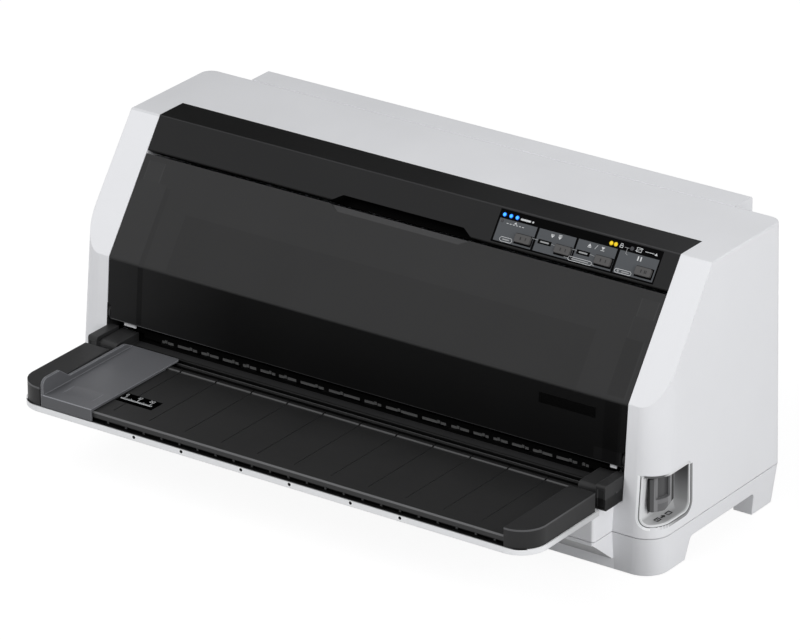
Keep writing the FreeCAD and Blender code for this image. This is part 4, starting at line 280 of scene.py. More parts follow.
def circuit_material():
    n = surface("solder_mask", (0.015, 0.12, 0.04), 0.35, grain=1800.0)
    tracks = n.add("ShaderNodeTexWave", wave_type="BANDS", bands_direction="DIAGONAL")
    tracks.inputs["Scale"].default_value = 60.0
    tracks.inputs["Distortion"].default_value = 4.0
    n.join(n.coords, tracks.inputs["Vector"])
    n.join(n.tint(tracks.outputs["Fac"], (0.012, 0.09, 0.03), (0.03, 0.2, 0.07)),
           n.shader.inputs["Base Color"])
    return n.material


def ribbon_material():
    n = surface("inked_ribbon", (0.012, 0.012, 0.015), 0.8, specular=0.2)
    weave = n.add("ShaderNodeTexBrick")
    weave.inputs["Scale"].default_value = 900.0
    n.join(n.coords, weave.inputs["Vector"])
    n.join(n.bump(weave.outputs["Fac"], 0.00003), n.shader.inputs["Normal"])
    return n.material


def band_material():
    """Satin black, with painted shade on the top's left, in the finger recess and along its foot,
    a painted reflection on the top that lightens towards the right, and a painted highlight along
    the crease.
    """
    shine = 0.12
    n = surface("satin_black", (0.0185, 0.0185, 0.019), 0.5, specular=shine, edge=0.0007,
                edge_paint_level=1.5)
    # Painted reflection on the top: dark towards the left and lightening towards the right
    top = n.where(height=(233.25, 234.5))
    n.tone(n.blended(top, n.fade("across", -240, 0, 0.1, 0.42)))
    n.tone(n.blended(top, n.fade("across", 0, 240, 1.0, 3.6)))
    # Painted shade in the finger recess, which also loses its shine
    recess = n.where(up_slope=(85.5, 98.5), out_of_slope=(-20, -0.2), across=(-69, 69))
    n.tone(n.level(recess, 0.18))
    n.join(n.level(recess, 0.0, shine), n.shader.inputs["Specular IOR Level"])
    # Painted highlight along the crease, and painted shade along the foot at the gap over the
    # cover
    n.shade(2.0, up_slope=(118.0, 119.2), out_of_slope=(-0.6, 1.0))
    n.shade(0.12, up_slope=(88.5, 90.1), out_of_slope=(-2.0, 1.0))
    return n.material


# What shows faintly through the cover: a level, then the limits across and upwards
SLOPE_PATCHES = (
    (0.84, (-187.0, 195.0), (0.5, 47.5)), (1.2, (-236.0, -221.0), (66.0, 82.0)),
    (1.15, (223.5, 238.5), (65.0, 79.5)), (0.78, (221.5, 236.5), (3.0, 47.5)),
    (1.13, (-240.5, -213.0), (0.0, 66.0)), (0.86, (-213.0, -208.0), (0.0, 64.0)),
    (1.4, (-236.5, -235.7), (66.0, 82.0)), (1.5, (-221.3, -220.5), (66.0, 82.0)),
    (1.45, (223.0, 223.8), (65.0, 79.5)), (1.6, (238.2, 239.0), (65.0, 79.5)),
    (1.25, (221.8, 222.6), (48.0, 65.0)), (1.25, (237.2, 238.0), (0.0, 47.5)))
LOWER_PATCHES = (
    (0.12, (163.0, 214.0), (118.5, 126.8)), (0.7, (221.5, 234.5), (87.5, 134.5)),
    (1.4, (236.5, 240.5), (87.5, 134.5)), (0.6, (-213.5, -208.5), (87.5, 134.5)),
    (1.5, (214.0, 240.5), (87.5, 96.5)))


def cover_material():
    """Smoked plastic, with painted shade below the crease that eases towards the left end as a
    painted sheen, and painted highlights along its foot and along its top edge under the recess.
    """
    shine = 0.25
    n = surface("smoked_plastic", (0.022, 0.022, 0.0225), 0.3, specular=shine, rough_vary=0.03,
                grain_depth=0.000004, edge=0.0008, alpha=0.985)
    # Painted shade below the crease, easing towards the left end as a painted sheen
    lower = n.fade("height", 134.5, 136.5, 1.0, 0.0)
    n.tone(n.blended(lower, n.fade("across", -240, -120, 0.9, 0.27)))
    n.join(n.level(lower, 0.03, shine), n.shader.inputs["Specular IOR Level"])
    for level, across, up_slope in SLOPE_PATCHES:
        n.shade(level, across=across, up_slope=up_slope)
    for level, across, height in LOWER_PATCHES:
        n.shade(level, across=across, height=height)
    # Painted highlights along the top edge under the recess and along the foot
    n.shade(1.9, across=(-64, 64), up_slope=(81.6, 87.8), out_of_slope=(-2.4, -0.05))
    n.shade(9.0, height=(85.5, 86.45))
    return n.material


def lip_material():
    """Textured black, with painted shade low down in the gaps, along the lip's front edge and on
    the ridge's front half, and painted highlights along the ridge's rear half and on its edges.
    """
    n = surface("gap_black", (0.0225, 0.0225, 0.023), 0.5, specular=0.3, grain_depth=0.00004,
                edge=0.0010, edge_paint_level=2.1)
    # Painted shade low down in the gaps
    n.tone(n.fade("height", 68.8, 69.5, 0.04, 1.0))
    # Painted shade on the lip's front edge and the ridge's front half, painted highlight on the
    # ridge's rear half
    for level, depth in ((0.2, (-44.0, -40.0)), (2.6, (-48.8, -46.6)), (0.1, (-50.4, -48.8))):
        n.shade(level, depth=depth, height=(55.0, 70.3))
    return n.material


# The table plate's grooves: the first ones lie half a pitch to each side of the middle
GROOVE_PITCH = 34.0


def plate_material():
    """Textured black, with painted highlights along the front edge and along the step before the
    slot, a painted reflection on the front face, painted light on the rib ends and groove floors,
    and painted shade on the slot's rear wall and the top's rear.
    """
    n = surface("plate_black", (0.0088, 0.0088, 0.009), 0.5, specular=0.3, grain_depth=0.00004,
                edge=0.0006)
    # Painted light and shade on the plate's front face, front edge, ribs, grooves, slot and rear
    face = {"depth": (-157.8, -157.35), "height": (64.0, 71.5)}
    front_edge_painted_highlight = {"depth": (-157.38, -156.0), "height": (68.9, 71.5)}
    rib_ends_painted_light = {"depth": (-154.3, -153.7), "height": (50.0, 66.4)}
    groove_floors_painted_light = {"depth": (-147.0, -56.0), "height": (69.4, 69.96)}
    slot_wall_painted_shade = {"depth": (-152.5, -150.5), "height": (50.0, 65.9)}
    rear_top_painted_shade = {"depth": (-57.9, -56.0)}
    for level, limits in ((3.0, face), (14.0, front_edge_painted_highlight), (16.0, rib_ends_painted_light),
                          (2.6, groove_floors_painted_light), (0.02, slot_wall_painted_shade), (0.05, rear_top_painted_shade)):
        n.shade(level, **limits)
    # Painted highlight along the step before the slot, broken at each groove
    wave = n.add("ShaderNodeMath", operation="PINGPONG")
    n.join(n.place("across"), wave.inputs[0])
    half_pitch = GROOVE_PITCH / 2
    wave.inputs[1].default_value = half_pitch * MM
    between_grooves = n.between(wave.outputs[0], (half_pitch - 1.0) * MM, (half_pitch - 0.7) * MM,
                                1.0, 0.0)
    step = n.where(depth=(-61.9, -60.6), height=(70.05, 71.8))
    n.tone(n.level(n.times(step, between_grooves), 8.5))
    return n.material


def block_material():
    """Textured black, with painted edge highlights and a painted highlight round the top edge,
    strongest towards the front.
    """
    n = surface("block_black", (0.0135, 0.0135, 0.014), 0.5, specular=0.3, grain_depth=0.00004,
                edge=0.0009, edge_paint_level=1.4)
    # Painted highlight round the top edge, strongest towards the front
    top_edge_painted_highlight = n.where(height=(76.0, 77.57))
    n.tone(n.blended(top_edge_painted_highlight, n.fade("depth", -150, -80, 7.0, 2.5)))
    return n.material


# The tray's front face and the small holes in it, at shares of its half width
TRAY_HALF = 239.0
TRAY_FRONT_Y = -118.0
RIM_HOLE_Z = 60.4
RIM_HOLE_RADIUS = 1.35
RIM_HOLE_SHARES = (0.0941, 0.3289, 0.5167)


def rim_hole_places():
    return [Vector((side * TRAY_HALF * share, TRAY_FRONT_Y + SHIFT_Y, RIM_HOLE_Z)) * MM
            for share in RIM_HOLE_SHARES for side in (-1, 1)]


def tray_material():
    """White, with painted shade on its ledge under the plate and round the rim holes, and darker
    towards the rear along its right side.
    """
    n = surface("tray_white", (0.9, 0.905, 0.92), 0.48, specular=0.3, vary=0.012, edge=0.0006)
    # Painted shade on the ledge under the plate's front
    ledge = n.where(depth=(-160.4, -153.0), height=(61.7, 62.1))
    n.tone(n.blended(ledge, n.fade("depth", -160.4, -158.4, 1.0, 0.004)))
    right_side = n.where(across=(238.5, 240.0))
    n.tone(n.blended(right_side, n.fade("depth", -142, -108, 1.0, 0.62)))
    # Painted shade round each rim hole
    for place in rim_hole_places():
        reach = n.add("ShaderNodeVectorMath", operation="DISTANCE")
        n.join(n.coords, reach.inputs[0])
        reach.inputs[1].default_value = place
        n.tone(n.level(n.within(reach.outputs["Value"], -MM, RIM_HOLE_RADIUS * MM), 0.02))
    return n.material


def white_material(name):
    """Moulded white, with painted shade at the top's left, low down on the tower's front, on the
    block's front under the table and along the undercut.
    """
    n = surface(name, (0.824, 0.828, 0.85), 0.48, specular=0.3, vary=0.012, edge=0.0009)
    # Painted shade at the top's left
    top = n.where(height=(231.8, 234.5))
    n.tone(n.blended(top, n.fade("across", -270, 50, 0.86, 0.99)))
    # Painted shade low down on the tower's front
    tower_front_painted_shade = n.where(across=(234.8, 274.0), depth=(-42.9, -20.0))
    tower_front_painted_shade = n.times(tower_front_painted_shade, n.fade("across", 262, 271.5, 1.0, 0.0))
    n.tone(n.blended(tower_front_painted_shade, n.fade("height", 0, 130, 0.8, 1.0)))
    # Painted shade on the block's front under the table and along the undercut
    n.shade(0.78, depth=(-67.6, -67.2), height=(0.0, 62.0))
    n.shade(0.4, out_of_undercut=(-0.4, 0.4), depth=(-67.1, -42.8))
    return n


def housing_material():
    """The white, black on the inner walls round the cover's hinges."""
    n = white_material("housing_white")
    for across in ((-242.08, -238.5), (238.5, 242.08)):
        n.shade(0.03, across=across, depth=(-41.5, -15.0), height=(70.0, 98.5))
    return n.material


SATIN_GREY = (0.11, 0.112, 0.12)


def guide_material():
    """Satin grey, with painted edge highlights, painted shade on the apron's front and a painted
    highlight along its top edge.
    """
    n = surface("guide_grey", SATIN_GREY, 0.4, specular=0.4, edge=0.0013, edge_paint_level=2.2)
    # Painted shade on the apron's front and a painted highlight along its top edge
    n.shade(0.75, depth=(-160.2, -159.7), height=(62.0, 71.8))
    n.shade(1.5, depth=(-159.9, -158.8), height=(71.9, 72.7))
    return n.material


# The lever pocket's inner bend: its centre, the radii between which its shade ends, and the
# longest way from the centre that counts, in metres
POCKET_CENTRE = Vector((253.0, 20.0 + SHIFT_Y, 0.0)) * MM
POCKET_SHADE_FULL = 0.0176
POCKET_SHADE_ENDS = 0.0186
POCKET_REACH = 0.1


def pocket_material():
    """White at the rim and on the inner left wall, with painted shade further in, where little
    light reaches, darkest high up.
    """
    n = surface("pocket_plastic", (0.8, 0.805, 0.815), 0.45, specular=0.3, vary=0.012,
                edge=0.0005)
    joined = n.add("ShaderNodeCombineXYZ")
    for index, direction in enumerate(((1.0, 0.0, 0.0), (0.0, -1.0, 0.0))):
        run = n.between(n.along(direction, POCKET_CENTRE), 0.0, POCKET_REACH, 0.0, POCKET_REACH)
        n.join(run, joined.inputs[index])
    reach = n.add("ShaderNodeVectorMath", operation="LENGTH")
    n.join(joined.outputs[0], reach.inputs[0])
    inside = n.between(reach.outputs["Value"], POCKET_SHADE_FULL, POCKET_SHADE_ENDS, 1.0, 0.0)
    inside = n.times(inside, n.fade("across", 258.0, 259.2, 0.0, 1.0))
    # Painted shade inside the pocket, darkest high up
    n.tone(n.blended(inside, n.fade("height", 44, 76, 0.6, 0.13)))
    return n.material


def lever_material():
    """Dark grey, with painted highlights on two ribs along the grip, painted shade on either side
    of them, and a lighter ledge at its foot.
    """
    n = surface("lever_grey", (0.075, 0.075, 0.077), 0.42, specular=0.3, edge=0.0006)
    # Painted shade beside the ribs and painted highlights on the ribs
    for level, sideways in ((0.05, (100.0, 195.5)), (2.9, (198.5, 201.4)), (3.1, (209.3, 212.0)),
                            (0.04, (212.1, 240.0))):
        n.shade(level, sideways=sideways)
    for level, height in ((2.4, (59.5, 63.2)), (1.7, (50.0, 59.4))):
        n.shade(level, sideways=(201.5, 209.2), height=height)
    return n.material


# What each material slot of the record looks like
slot_materials = {
    "white_casing": white_material("moulded_white").material,
    "black_casing": band_material(),
    "smoked_cover": cover_material(),
    "black_plastic": surface("textured_black", (0.0175, 0.0175, 0.018), 0.5, specular=0.3,
                             grain_depth=0.00004, edge=0.0008, edge_paint_level=1.8).material,
    "lever_plastic": lever_material(),
    "grey_plastic": surface("satin_grey", SATIN_GREY, 0.4, specular=0.4, edge=0.0013,
                            edge_paint_level=2.2).material,
    "panel_plastic": surface("panel_film", (0.002, 0.002, 0.0021), 0.5, specular=0.02,
                             edge=0.0003).material,
    # An edge paint level below one paints shade round the buttons' edges
    "button_plastic": surface("button_black", (0.088, 0.086, 0.086), 0.45, specular=0.2,
                              edge=0.0006, edge_paint_level=0.6).material,
    "lamp_plastic": lamp_material("lamp_dark", (0.03, 0.03, 0.035), 0.0),
    "label": surface("label_film", (0.001, 0.001, 0.001), 0.6, specular=0.0).material,
    "rubber": surface("soft_rubber", (0.02, 0.02, 0.02), 0.8, specular=0.2,
                      grain_depth=0.00005).material,
    "steel": surface("rolled_steel", (0.55, 0.55, 0.57), 0.35, metallic=1.0, grain=900.0,
                     stretch=(0.05, 1.0, 1.0)).material,
    "ground_steel": surface("ground_steel", (0.6, 0.6, 0.62), 0.2, metallic=1.0, grain=1800.0,
                            stretch=(0.05, 1.0, 1.0)).material,
    "white_plastic": surface("natural_plastic", (0.6, 0.59, 0.55), 0.45, specular=0.4).material,
    "aluminium": surface("cast_aluminium", (0.45, 0.45, 0.46), 0.45, metallic=1.0,
                         grain_depth=0.00006).material,
    "motor_steel": surface("motor_paint", (0.02, 0.02, 0.022), 0.4, metallic=0.3).material,
    "ribbon_cloth": ribbon_material(),
    "belt_rubber": surface("belt_rubber", (0.015, 0.015, 0.015), 0.7, specular=0.2).material,
    "circuit_board": circuit_material(),
}
# Near-black for print and bars, also used as painted shade deep in the front slot
deep_black = surface("deep_black", (0.004, 0.004, 0.004), 0.7, specular=0.02).material
block_black = block_material()
# Nodes that look different from the rest of their slot
node_materials = {
    "front_frame": lip_material(),
    "main_housing": housing_material(),
    "table_block_left": block_black,
    "table_block_right": block_black,
    "table_plate": plate_material(),
    "edge_guide": guide_material(),
    "table_tray": tray_material(),
    "lever_pocket": pocket_material(),
    # Painted shade: the parts deep in the front slot take the near-black
    "lower_guide_plate": deep_black,
    "front_pinch_rollers": deep_black,
    "platen": deep_black,
}
for subpart in frame["record"]["subparts"]:
    name = subpart["node"]
    material = node_materials.get(name, slot_materials[subpart["material_slot"]])
    node = frame["nodes"][name]
    node.data.materials.clear()
    node.data.materials.append(material)


def ink(name, colour, specular=0.2, vary=0.06):
    return surface(name, colour, 0.6, specular=specular, vary=vary).material


mark_material = ink("printed_mark", (0.6, 0.61, 0.62), vary=0.03)
faint_mark = ink("faint_mark", (0.32, 0.325, 0.33), vary=0.03)
pictogram_ink = ink("pictogram_ink", (0.03, 0.03, 0.03))
groove_material = ink("groove_grey", (0.09, 0.09, 0.095), specular=0.1)
cell_material = surface("cell_film", (0.085, 0.09, 0.097), 0.55, specular=0.15,
                        edge=0.0002).material
dash_material = surface("slot_grey", (0.12, 0.12, 0.12), 0.55, specular=0.3).material
blue_lamp = lamp_material("lamp_blue", (0.0, 0.1, 0.7), 1.25, (0.06, 0.5, 1.0))
yellow_lamp = lamp_material("lamp_yellow", (0.7, 0.48, 0.0), 0.45)
dark_lamp = slot_materials["lamp_plastic"]


# Pieces made here
def placed(name, data):
    """A new object in the scene."""
    obj = bpy.data.objects.new(name, data)
    bpy.context.collection.objects.link(obj)
    return obj


def piece(name, build, material, body="printer"):
    """An object that rides a body, with a material and the mesh that a function builds."""
    obj = placed(name, mesh_of(build, name))
    obj.data.materials.append(material)
    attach(obj, body)
    return obj


def mesh_of(build, name):
    bm = bmesh.new()
    build(bm)
    bmesh.ops.recalc_face_normals(bm, faces=bm.faces)
    mesh = bpy.data.meshes.new(name)
    bm.to_mesh(mesh)
    bm.free()
    return mesh


def slab(bm, outline, low, high, place):
    """A closed slab over a flat outline, from low to high, put in place."""
    bottom = [bm.verts.new(place(a, b, low)) for a, b in outline]
    top = [bm.verts.new(place(a, b, high)) for a, b in outline]
    bm.faces.new(bottom[::-1])
    bm.faces.new(top)
    for i in range(len(outline)):
        j = (i + 1) % len(outline)
        bm.faces.new((bottom[i], bottom[j], top[j], top[i]))


def bar(a0, b0, a1, b1):
    return [(a0, b0), (a1, b0), (a1, b1), (a0, b1)]


def oval(a, b, half_a, half_b, steps=28):
    """A pill outline, round at its left and right ends."""
    straight = half_a - half_b
    points = []
    for i in range(steps):
        angle = 2 * math.pi * i / steps
        side = straight if math.cos(angle) >= 0 else -straight
        points.append((a + side + half_b * math.cos(angle), b + half_b * math.sin(angle)))
    return points


def ring(bm, outer, inner, low, high, place):
    """A closed band between two outlines with as many points."""
    rows = [[bm.verts.new(place(a, b, h)) for a, b in outline]
            for outline, h in ((outer, low), (outer, high), (inner, high), (inner, low))]
    for i in range(len(outer)):
        j = (i + 1) % len(outer)
        for k in range(4):
            m = (k + 1) % 4
            bm.faces.new((rows[k][i], rows[k][j], rows[m][j], rows[m][i]))


# Camera at the photograph's place, in millimetres from the point that it aims at
LENS_MM = 275.95
SENSOR_MM = 36
AIM = (0, 150 + SHIFT_Y, 120)
BACK, TO_LEFT, DOWN = 4781.4, 51.933, 25.581
back = Vector((math.sin(AZIMUTH) * math.cos(ELEVATION), -math.cos(AZIMUTH) * math.cos(ELEVATION),
               math.sin(ELEVATION)))
right = Vector((math.cos(AZIMUTH), math.sin(AZIMUTH), 0))
up = Vector((-math.sin(AZIMUTH) * math.sin(ELEVATION), math.cos(AZIMUTH) * math.sin(ELEVATION),
             math.cos(ELEVATION)))
camera_data = bpy.data.cameras.new("camera")
camera_data.lens = LENS_MM
camera_data.sensor_width = SENSOR_MM
camera_data.sensor_fit = "HORIZONTAL"
camera_data.clip_start = 0.1
camera_data.clip_end = 50
camera = placed("camera", camera_data)
camera.location = (Vector(AIM) + back * BACK - right * TO_LEFT - up * DOWN) * MM
camera.rotation_euler = (math.pi / 2 - ELEVATION, 0, AZIMUTH)
bpy.context.scene.camera = camera
bpy.context.scene.view_settings.view_transform = "Standard"


# Lights, floor and background
LIGHT_AIM = Vector((0, 0, 0.1))
LIGHT_SIZE = 1.6
FLOOR_SHADE = 0.14
FLOOR_GLOW = 0.915


def area_light(name, place, power):
    data = bpy.data.lights.new(name, "AREA")
    data.shape = "SQUARE"
    data.size = LIGHT_SIZE
    data.energy = power
    light = placed(name, data)
    light.location = place
    light.rotation_euler = (LIGHT_AIM - Vector(place)).to_track_quat("-Z", "Y").to_euler()
    light.visible_glossy = False


area_light("key_light", (-1.1, -1.8, 2.45), 42)
area_light("right_light", (2.4, -0.7, 1.0), 33)


def seen_directly(tree):
    """One where a ray comes from the camera, a reflection or a see-through surface."""
    path = tree.nodes.new("ShaderNodeLightPath")
    total = path.outputs["Is Camera Ray"]
    for kind in ("Is Glossy Ray", "Is Transmission Ray"):
        add = tree.nodes.new("ShaderNodeMath")
        add.operation = "MAXIMUM"
        tree.links.new(total, add.inputs[0])
        tree.links.new(path.outputs[kind], add.inputs[1])
        total = add.outputs[0]
    return total


def split_by_ray(tree, unseen, seen, output_kind):
    """One shader for the light that falls on the object and one for what the eye meets."""
    mix = tree.nodes.new("ShaderNodeMixShader")
    tree.links.new(seen_directly(tree), mix.inputs["Fac"])
    tree.links.new(unseen.outputs[0], mix.inputs[1])
    tree.links.new(seen.outputs[0], mix.inputs[2])
    output = tree.nodes.new(output_kind)
    tree.links.new(mix.outputs[0], output.inputs["Surface"])


def background(tree, colour, strength):
    node = tree.nodes.new("ShaderNodeBackground")
    node.inputs["Color"].default_value = colour + (1,)
    node.inputs["Strength"].default_value = strength
    return node


world = bpy.data.worlds.new("studio")
bpy.context.scene.world = world
world.use_nodes = True
world.node_tree.nodes.clear()
split_by_ray(world.node_tree, background(world.node_tree, (0.98, 0.99, 1.0), 0.42),
             background(world.node_tree, (1, 1, 1), 1.0), "ShaderNodeOutputWorld")


def floor_material():
    """White to the eye but for the object's shadow, and grey to the light it sends back."""
    material = bpy.data.materials.new("floor_white")
    material.use_nodes = True
    tree = material.node_tree
    tree.nodes.clear()
    coords = tree.nodes.new("ShaderNodeTexCoord")
    noise = tree.nodes.new("ShaderNodeTexNoise")
    noise.inputs["Scale"].default_value = 3.0
    tree.links.new(coords.outputs["Object"], noise.inputs["Vector"])
    ramp = tree.nodes.new("ShaderNodeValToRGB")
    ramp.color_ramp.elements[0].color = (0.46, 0.46, 0.46, 1)
    ramp.color_ramp.elements[1].color = (0.5, 0.5, 0.5, 1)
    tree.links.new(noise.outputs["Fac"], ramp.inputs["Fac"])
    plain = tree.nodes.new("ShaderNodeBsdfDiffuse")
    tree.links.new(ramp.outputs["Color"], plain.inputs["Color"])
    shade = tree.nodes.new("ShaderNodeBsdfDiffuse")
    shade.inputs["Color"].default_value = (FLOOR_SHADE, FLOOR_SHADE, FLOOR_SHADE, 1)
    glow = tree.nodes.new("ShaderNodeEmission")
    glow.inputs["Strength"].default_value = FLOOR_GLOW
    lit = tree.nodes.new("ShaderNodeAddShader")
    tree.links.new(shade.outputs[0], lit.inputs[0])
    tree.links.new(glow.outputs[0], lit.inputs[1])
    split_by_ray(tree, plain, lit, "ShaderNodeOutputMaterial")
    return material


def floor_mesh(bm):
    bmesh.ops.create_circle(bm, cap_ends=True, segments=64, radius=12)


floor = placed("floor", mesh_of(floor_mesh, "floor"))
floor.location.z = -0.0002
floor.data.materials.append(floor_material())


# A dark screen behind the printer, which only reflections meet, in metres
SCREEN_HALF = 3.0
SCREEN_LOW = 0.35
SCREEN_HIGH = 3.2
SCREEN_Y = 2.6
SCREEN_THICK = 0.02


def screen_mesh(bm):
    slab(bm, bar(-SCREEN_HALF, SCREEN_LOW, SCREEN_HALF, SCREEN_HIGH), 0.0, SCREEN_THICK,
         lambda a, b, h: Vector((a, SCREEN_Y + h, b)))


screen_black = bpy.data.materials.new("screen_black")
screen_black.use_nodes = True
screen_shader = screen_black.node_tree.nodes["Principled BSDF"]
screen_shader.inputs["Base Color"].default_value = (0, 0, 0, 1)
screen_shader.inputs["Specular IOR Level"].default_value = 0.0
screen = placed("rear_screen", mesh_of(screen_mesh, "rear_screen"))
screen.data.materials.append(screen_black)
screen.visible_camera = False
screen.visible_diffuse = False
screen.visible_transmission = False
screen.visible_shadow = False


# Indicator lights in the control panel: across, up the slope, and the look
LIGHT_S = 113.3
CELL_LIGHT_S = 108.2
LIGHT_RADIUS = 1.7
lights = ((86.3, LIGHT_S, blue_lamp), (92.2, LIGHT_S, blue_lamp), (97.8, LIGHT_S, blue_lamp),
          (182.4, LIGHT_S, yellow_lamp), (186.4, LIGHT_S, yellow_lamp),
          (200.9, LIGHT_S, dark_lamp), (86.3, CELL_LIGHT_S, dark_lamp))
# A lens from its hidden foot to its top, as shares of the radius and heights
LENS_ROWS = ((1.0, -12.8), (1.0, 0.0), (0.9, 0.16), (0.62, 0.3), (0.3, 0.36))
LENS_STEPS = 20


def lens(x, s):
    def build(bm):
        turns = [2 * math.pi * i / LENS_STEPS for i in range(LENS_STEPS)]
        rings = [[bm.verts.new(slope_point(x + LIGHT_RADIUS * share * math.cos(turn),
                                           s + LIGHT_RADIUS * share * math.sin(turn), out))
                  for turn in turns] for share, out in LENS_ROWS]
        for low, high in zip(rings, rings[1:]):
            for i in range(LENS_STEPS):
                j = (i + 1) % LENS_STEPS
                bm.faces.new((low[i], low[j], high[j], high[i]))
        bm.faces.new(rings[0][::-1])
        bm.faces.new(rings[-1])
    return build


for index, (x, s, material) in enumerate(lights):
    obj = piece("indicator_lens_%d" % (index + 1), lens(x, s), material)
    for polygon in obj.data.polygons:
        polygon.use_smooth = len(polygon.vertices) == 4
    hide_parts("indicator_lights")


# Printing on the control panel: grey cells, pills, plain pictograms and lines. Places are
# across and up the slope in millimetres.
FILM_LOW = 0.11
FILM_HIGH = 0.2
INK_HIGH = 0.28
LINE = 0.35
SIGN_LINE = 0.4
CELL_LOW_S = 92.4
CELL_HIGH_S = 110.2
cells = ((83.7, 117.5), (119.6, 152.8), (154.8, 189.4), (191.8, 226.5))
buttons = tuple(109.0 + 36.0 * i for i in range(4))
BUTTON_S = 98.4
# A cell's opening round its button: to the left, to the right, down and up
ROOM_LEFT, ROOM_RIGHT, ROOM_LOW, ROOM_HIGH = 7.35, 8.25, 4.7, 3.75
BOX_PLACES = (127.6, 162.3)
BOX_HALF = 5.9
BOX_LOW_S = 98.6
BOX_HIGH_S = 102.1
BOX_RISE = 0.04


def film(bm, outline, low=FILM_HIGH, high=INK_HIGH):
    slab(bm, outline, low, high, slope_point)


def line(bm, x0, s0, x1, s1, wide=LINE):
    """A thin straight stroke between two places on the panel."""
    run = math.hypot(x1 - x0, s1 - s0)
    across = (s1 - s0) / run * wide / 2
    down = -(x1 - x0) / run * wide / 2
    film(bm, [(x0 + across, s0 + down), (x1 + across, s1 + down),
              (x1 - across, s1 - down), (x0 - across, s0 - down)])


def triangle(bm, x, s, half, rise):
    film(bm, [(x - half, s), (x + half, s), (x, s + rise)][::1 if rise > 0 else -1])


def box_line(bm, left, low, right_end, high, wide=SIGN_LINE, start=FILM_HIGH, end=INK_HIGH,
             place=slope_point):
    """A box drawn as a raised line."""
    ring(bm, bar(left, low, right_end, high),
         bar(left + wide, low + wide, right_end - wide, high - wide), start, end, place)


def pill(bm, x, s, half_x, half_s):
    ring(bm, oval(x, s, half_x, half_s), oval(x, s, half_x - LINE, half_s - LINE),
         FILM_HIGH, INK_HIGH, slope_point)


def cells_mesh(bm):
    for (left, right_end), x in zip(cells, buttons):
        ring(bm, bar(left, CELL_LOW_S, right_end, CELL_HIGH_S),
             bar(x - ROOM_LEFT, BUTTON_S - ROOM_LOW, x + ROOM_RIGHT, BUTTON_S + ROOM_HIGH),
             FILM_LOW, FILM_HIGH, slope_point)


def boxes_mesh(bm):
    for x in BOX_PLACES:
        film(bm, bar(x - BOX_HALF, BOX_LOW_S, x + BOX_HALF, BOX_HIGH_S), FILM_HIGH,
             FILM_HIGH + BOX_RISE)


def tear_mark(bm):
    """A dashed line with a triangle over it."""
    for i in range(6):
        left = 90.6 + 2.8 * i
        film(bm, bar(left, 106.9, left + 1.6, 107.4))
    triangle(bm, 98.3, 108.0, 1.3, 1.7)


def feed_mark(bm):
    triangle(bm, 132.4, 107.3, 1.5, -2.0)
    film(bm, bar(130.9, 107.6, 133.9, 108.1))
    triangle(bm, 139.0, 107.3, 1.5, -2.0)
    film(bm, bar(137.5, 107.6, 140.5, 108.1))
    film(bm, bar(137.5, 108.5, 140.5, 109.0))


def eject_mark(bm):
    triangle(bm, 165.6, 106.6, 1.6, 2.2)
    film(bm, bar(164.0, 105.7, 167.2, 106.2))
    line(bm, 170.6, 105.6, 172.4, 109.0)
    triangle(bm, 177.4, 108.6, 1.6, -2.2)
    film(bm, bar(175.8, 105.6, 179.0, 106.1))


def pause_mark(bm):
    film(bm, bar(208.2, 105.5, 209.3, 108.9))
    film(bm, bar(210.7, 105.5, 211.8, 108.9))


def lamps_mark(bm):
    """A bar beside the three blue lamps, which share it."""
    film(bm, oval(105.8, 112.9, 4.6, 0.75))
    film(bm, oval(112.4, 112.9, 0.75, 0.75))


def sheet_out_mark(bm):
    """An empty sheet with a line through it."""
    box_line(bm, 205.0, 111.9, 209.6, 115.4)
    line(bm, 204.3, 112.6, 210.4, 115.0)
    film(bm, bar(212.6, 113.4, 221.0, 113.8))
    triangle(bm, 222.4, 112.6, 1.3, 2.0)


def lock_mark(bm):
    box_line(bm, 190.2, 111.9, 193.2, 113.8)
    film(bm, bar(190.7, 113.8, 191.1, 115.2))
    film(bm, bar(192.3, 113.8, 192.7, 115.2))
    film(bm, bar(190.7, 114.9, 192.7, 115.3))


# Thin lines between the signs, each from one end to the other
LINKS = ((117.6, 101.0, 121.6, 101.0), (115.9, 101.4, 117.6, 101.0),
         (133.6, 100.6, 137.0, 100.0), (151.6, 101.2, 156.3, 101.0),
         (168.2, 100.8, 172.6, 100.2), (194.8, 112.9, 198.6, 112.9),
         (197.2, 112.9, 197.2, 108.4), (197.2, 108.4, 199.0, 107.6),
         (147.5, 93.9, 151.0, 93.9), (172.6, 93.7, 174.8, 93.4))


def link_lines(bm):
    for ends in LINKS:
        line(bm, *ends)


def pills_mesh(bm):
    pill(bm, 94.6, 94.7, 5.6, 1.9)
    pill(bm, 161.7, 94.0, 10.6, 1.7)
    pill(bm, 200.0, 94.4, 7.4, 1.7)


def small_marks(bm):
    """A plain bar or dot inside each pill and box."""
    film(bm, oval(94.6, 94.7, 3.0, 0.5))
    for x in BOX_PLACES:
        film(bm, oval(x, 100.4, 3.9, 0.6))
    film(bm, oval(161.7, 94.0, 7.6, 0.4))
    film(bm, oval(195.6, 94.4, 1.0, 0.9))
    film(bm, oval(202.0, 94.4, 3.4, 0.45))


panel_pieces = (("panel_cells", cells_mesh, cell_material),
                ("panel_boxes", boxes_mesh, deep_black),
                ("tear_off_mark", tear_mark, mark_material),
                ("line_feed_mark", feed_mark, mark_material),
                ("load_eject_mark", eject_mark, mark_material),
                ("pause_mark", pause_mark, mark_material),
                ("lamps_mark", lamps_mark, mark_material),
                ("sheet_out_mark", sheet_out_mark, mark_material),
                ("lock_mark", lock_mark, mark_material),
                ("panel_link_lines", link_lines, faint_mark),
                ("panel_pills", pills_mesh, mark_material),
                ("panel_small_marks", small_marks, faint_mark))
for name, build, material in panel_pieces:
    piece(name, build, material)


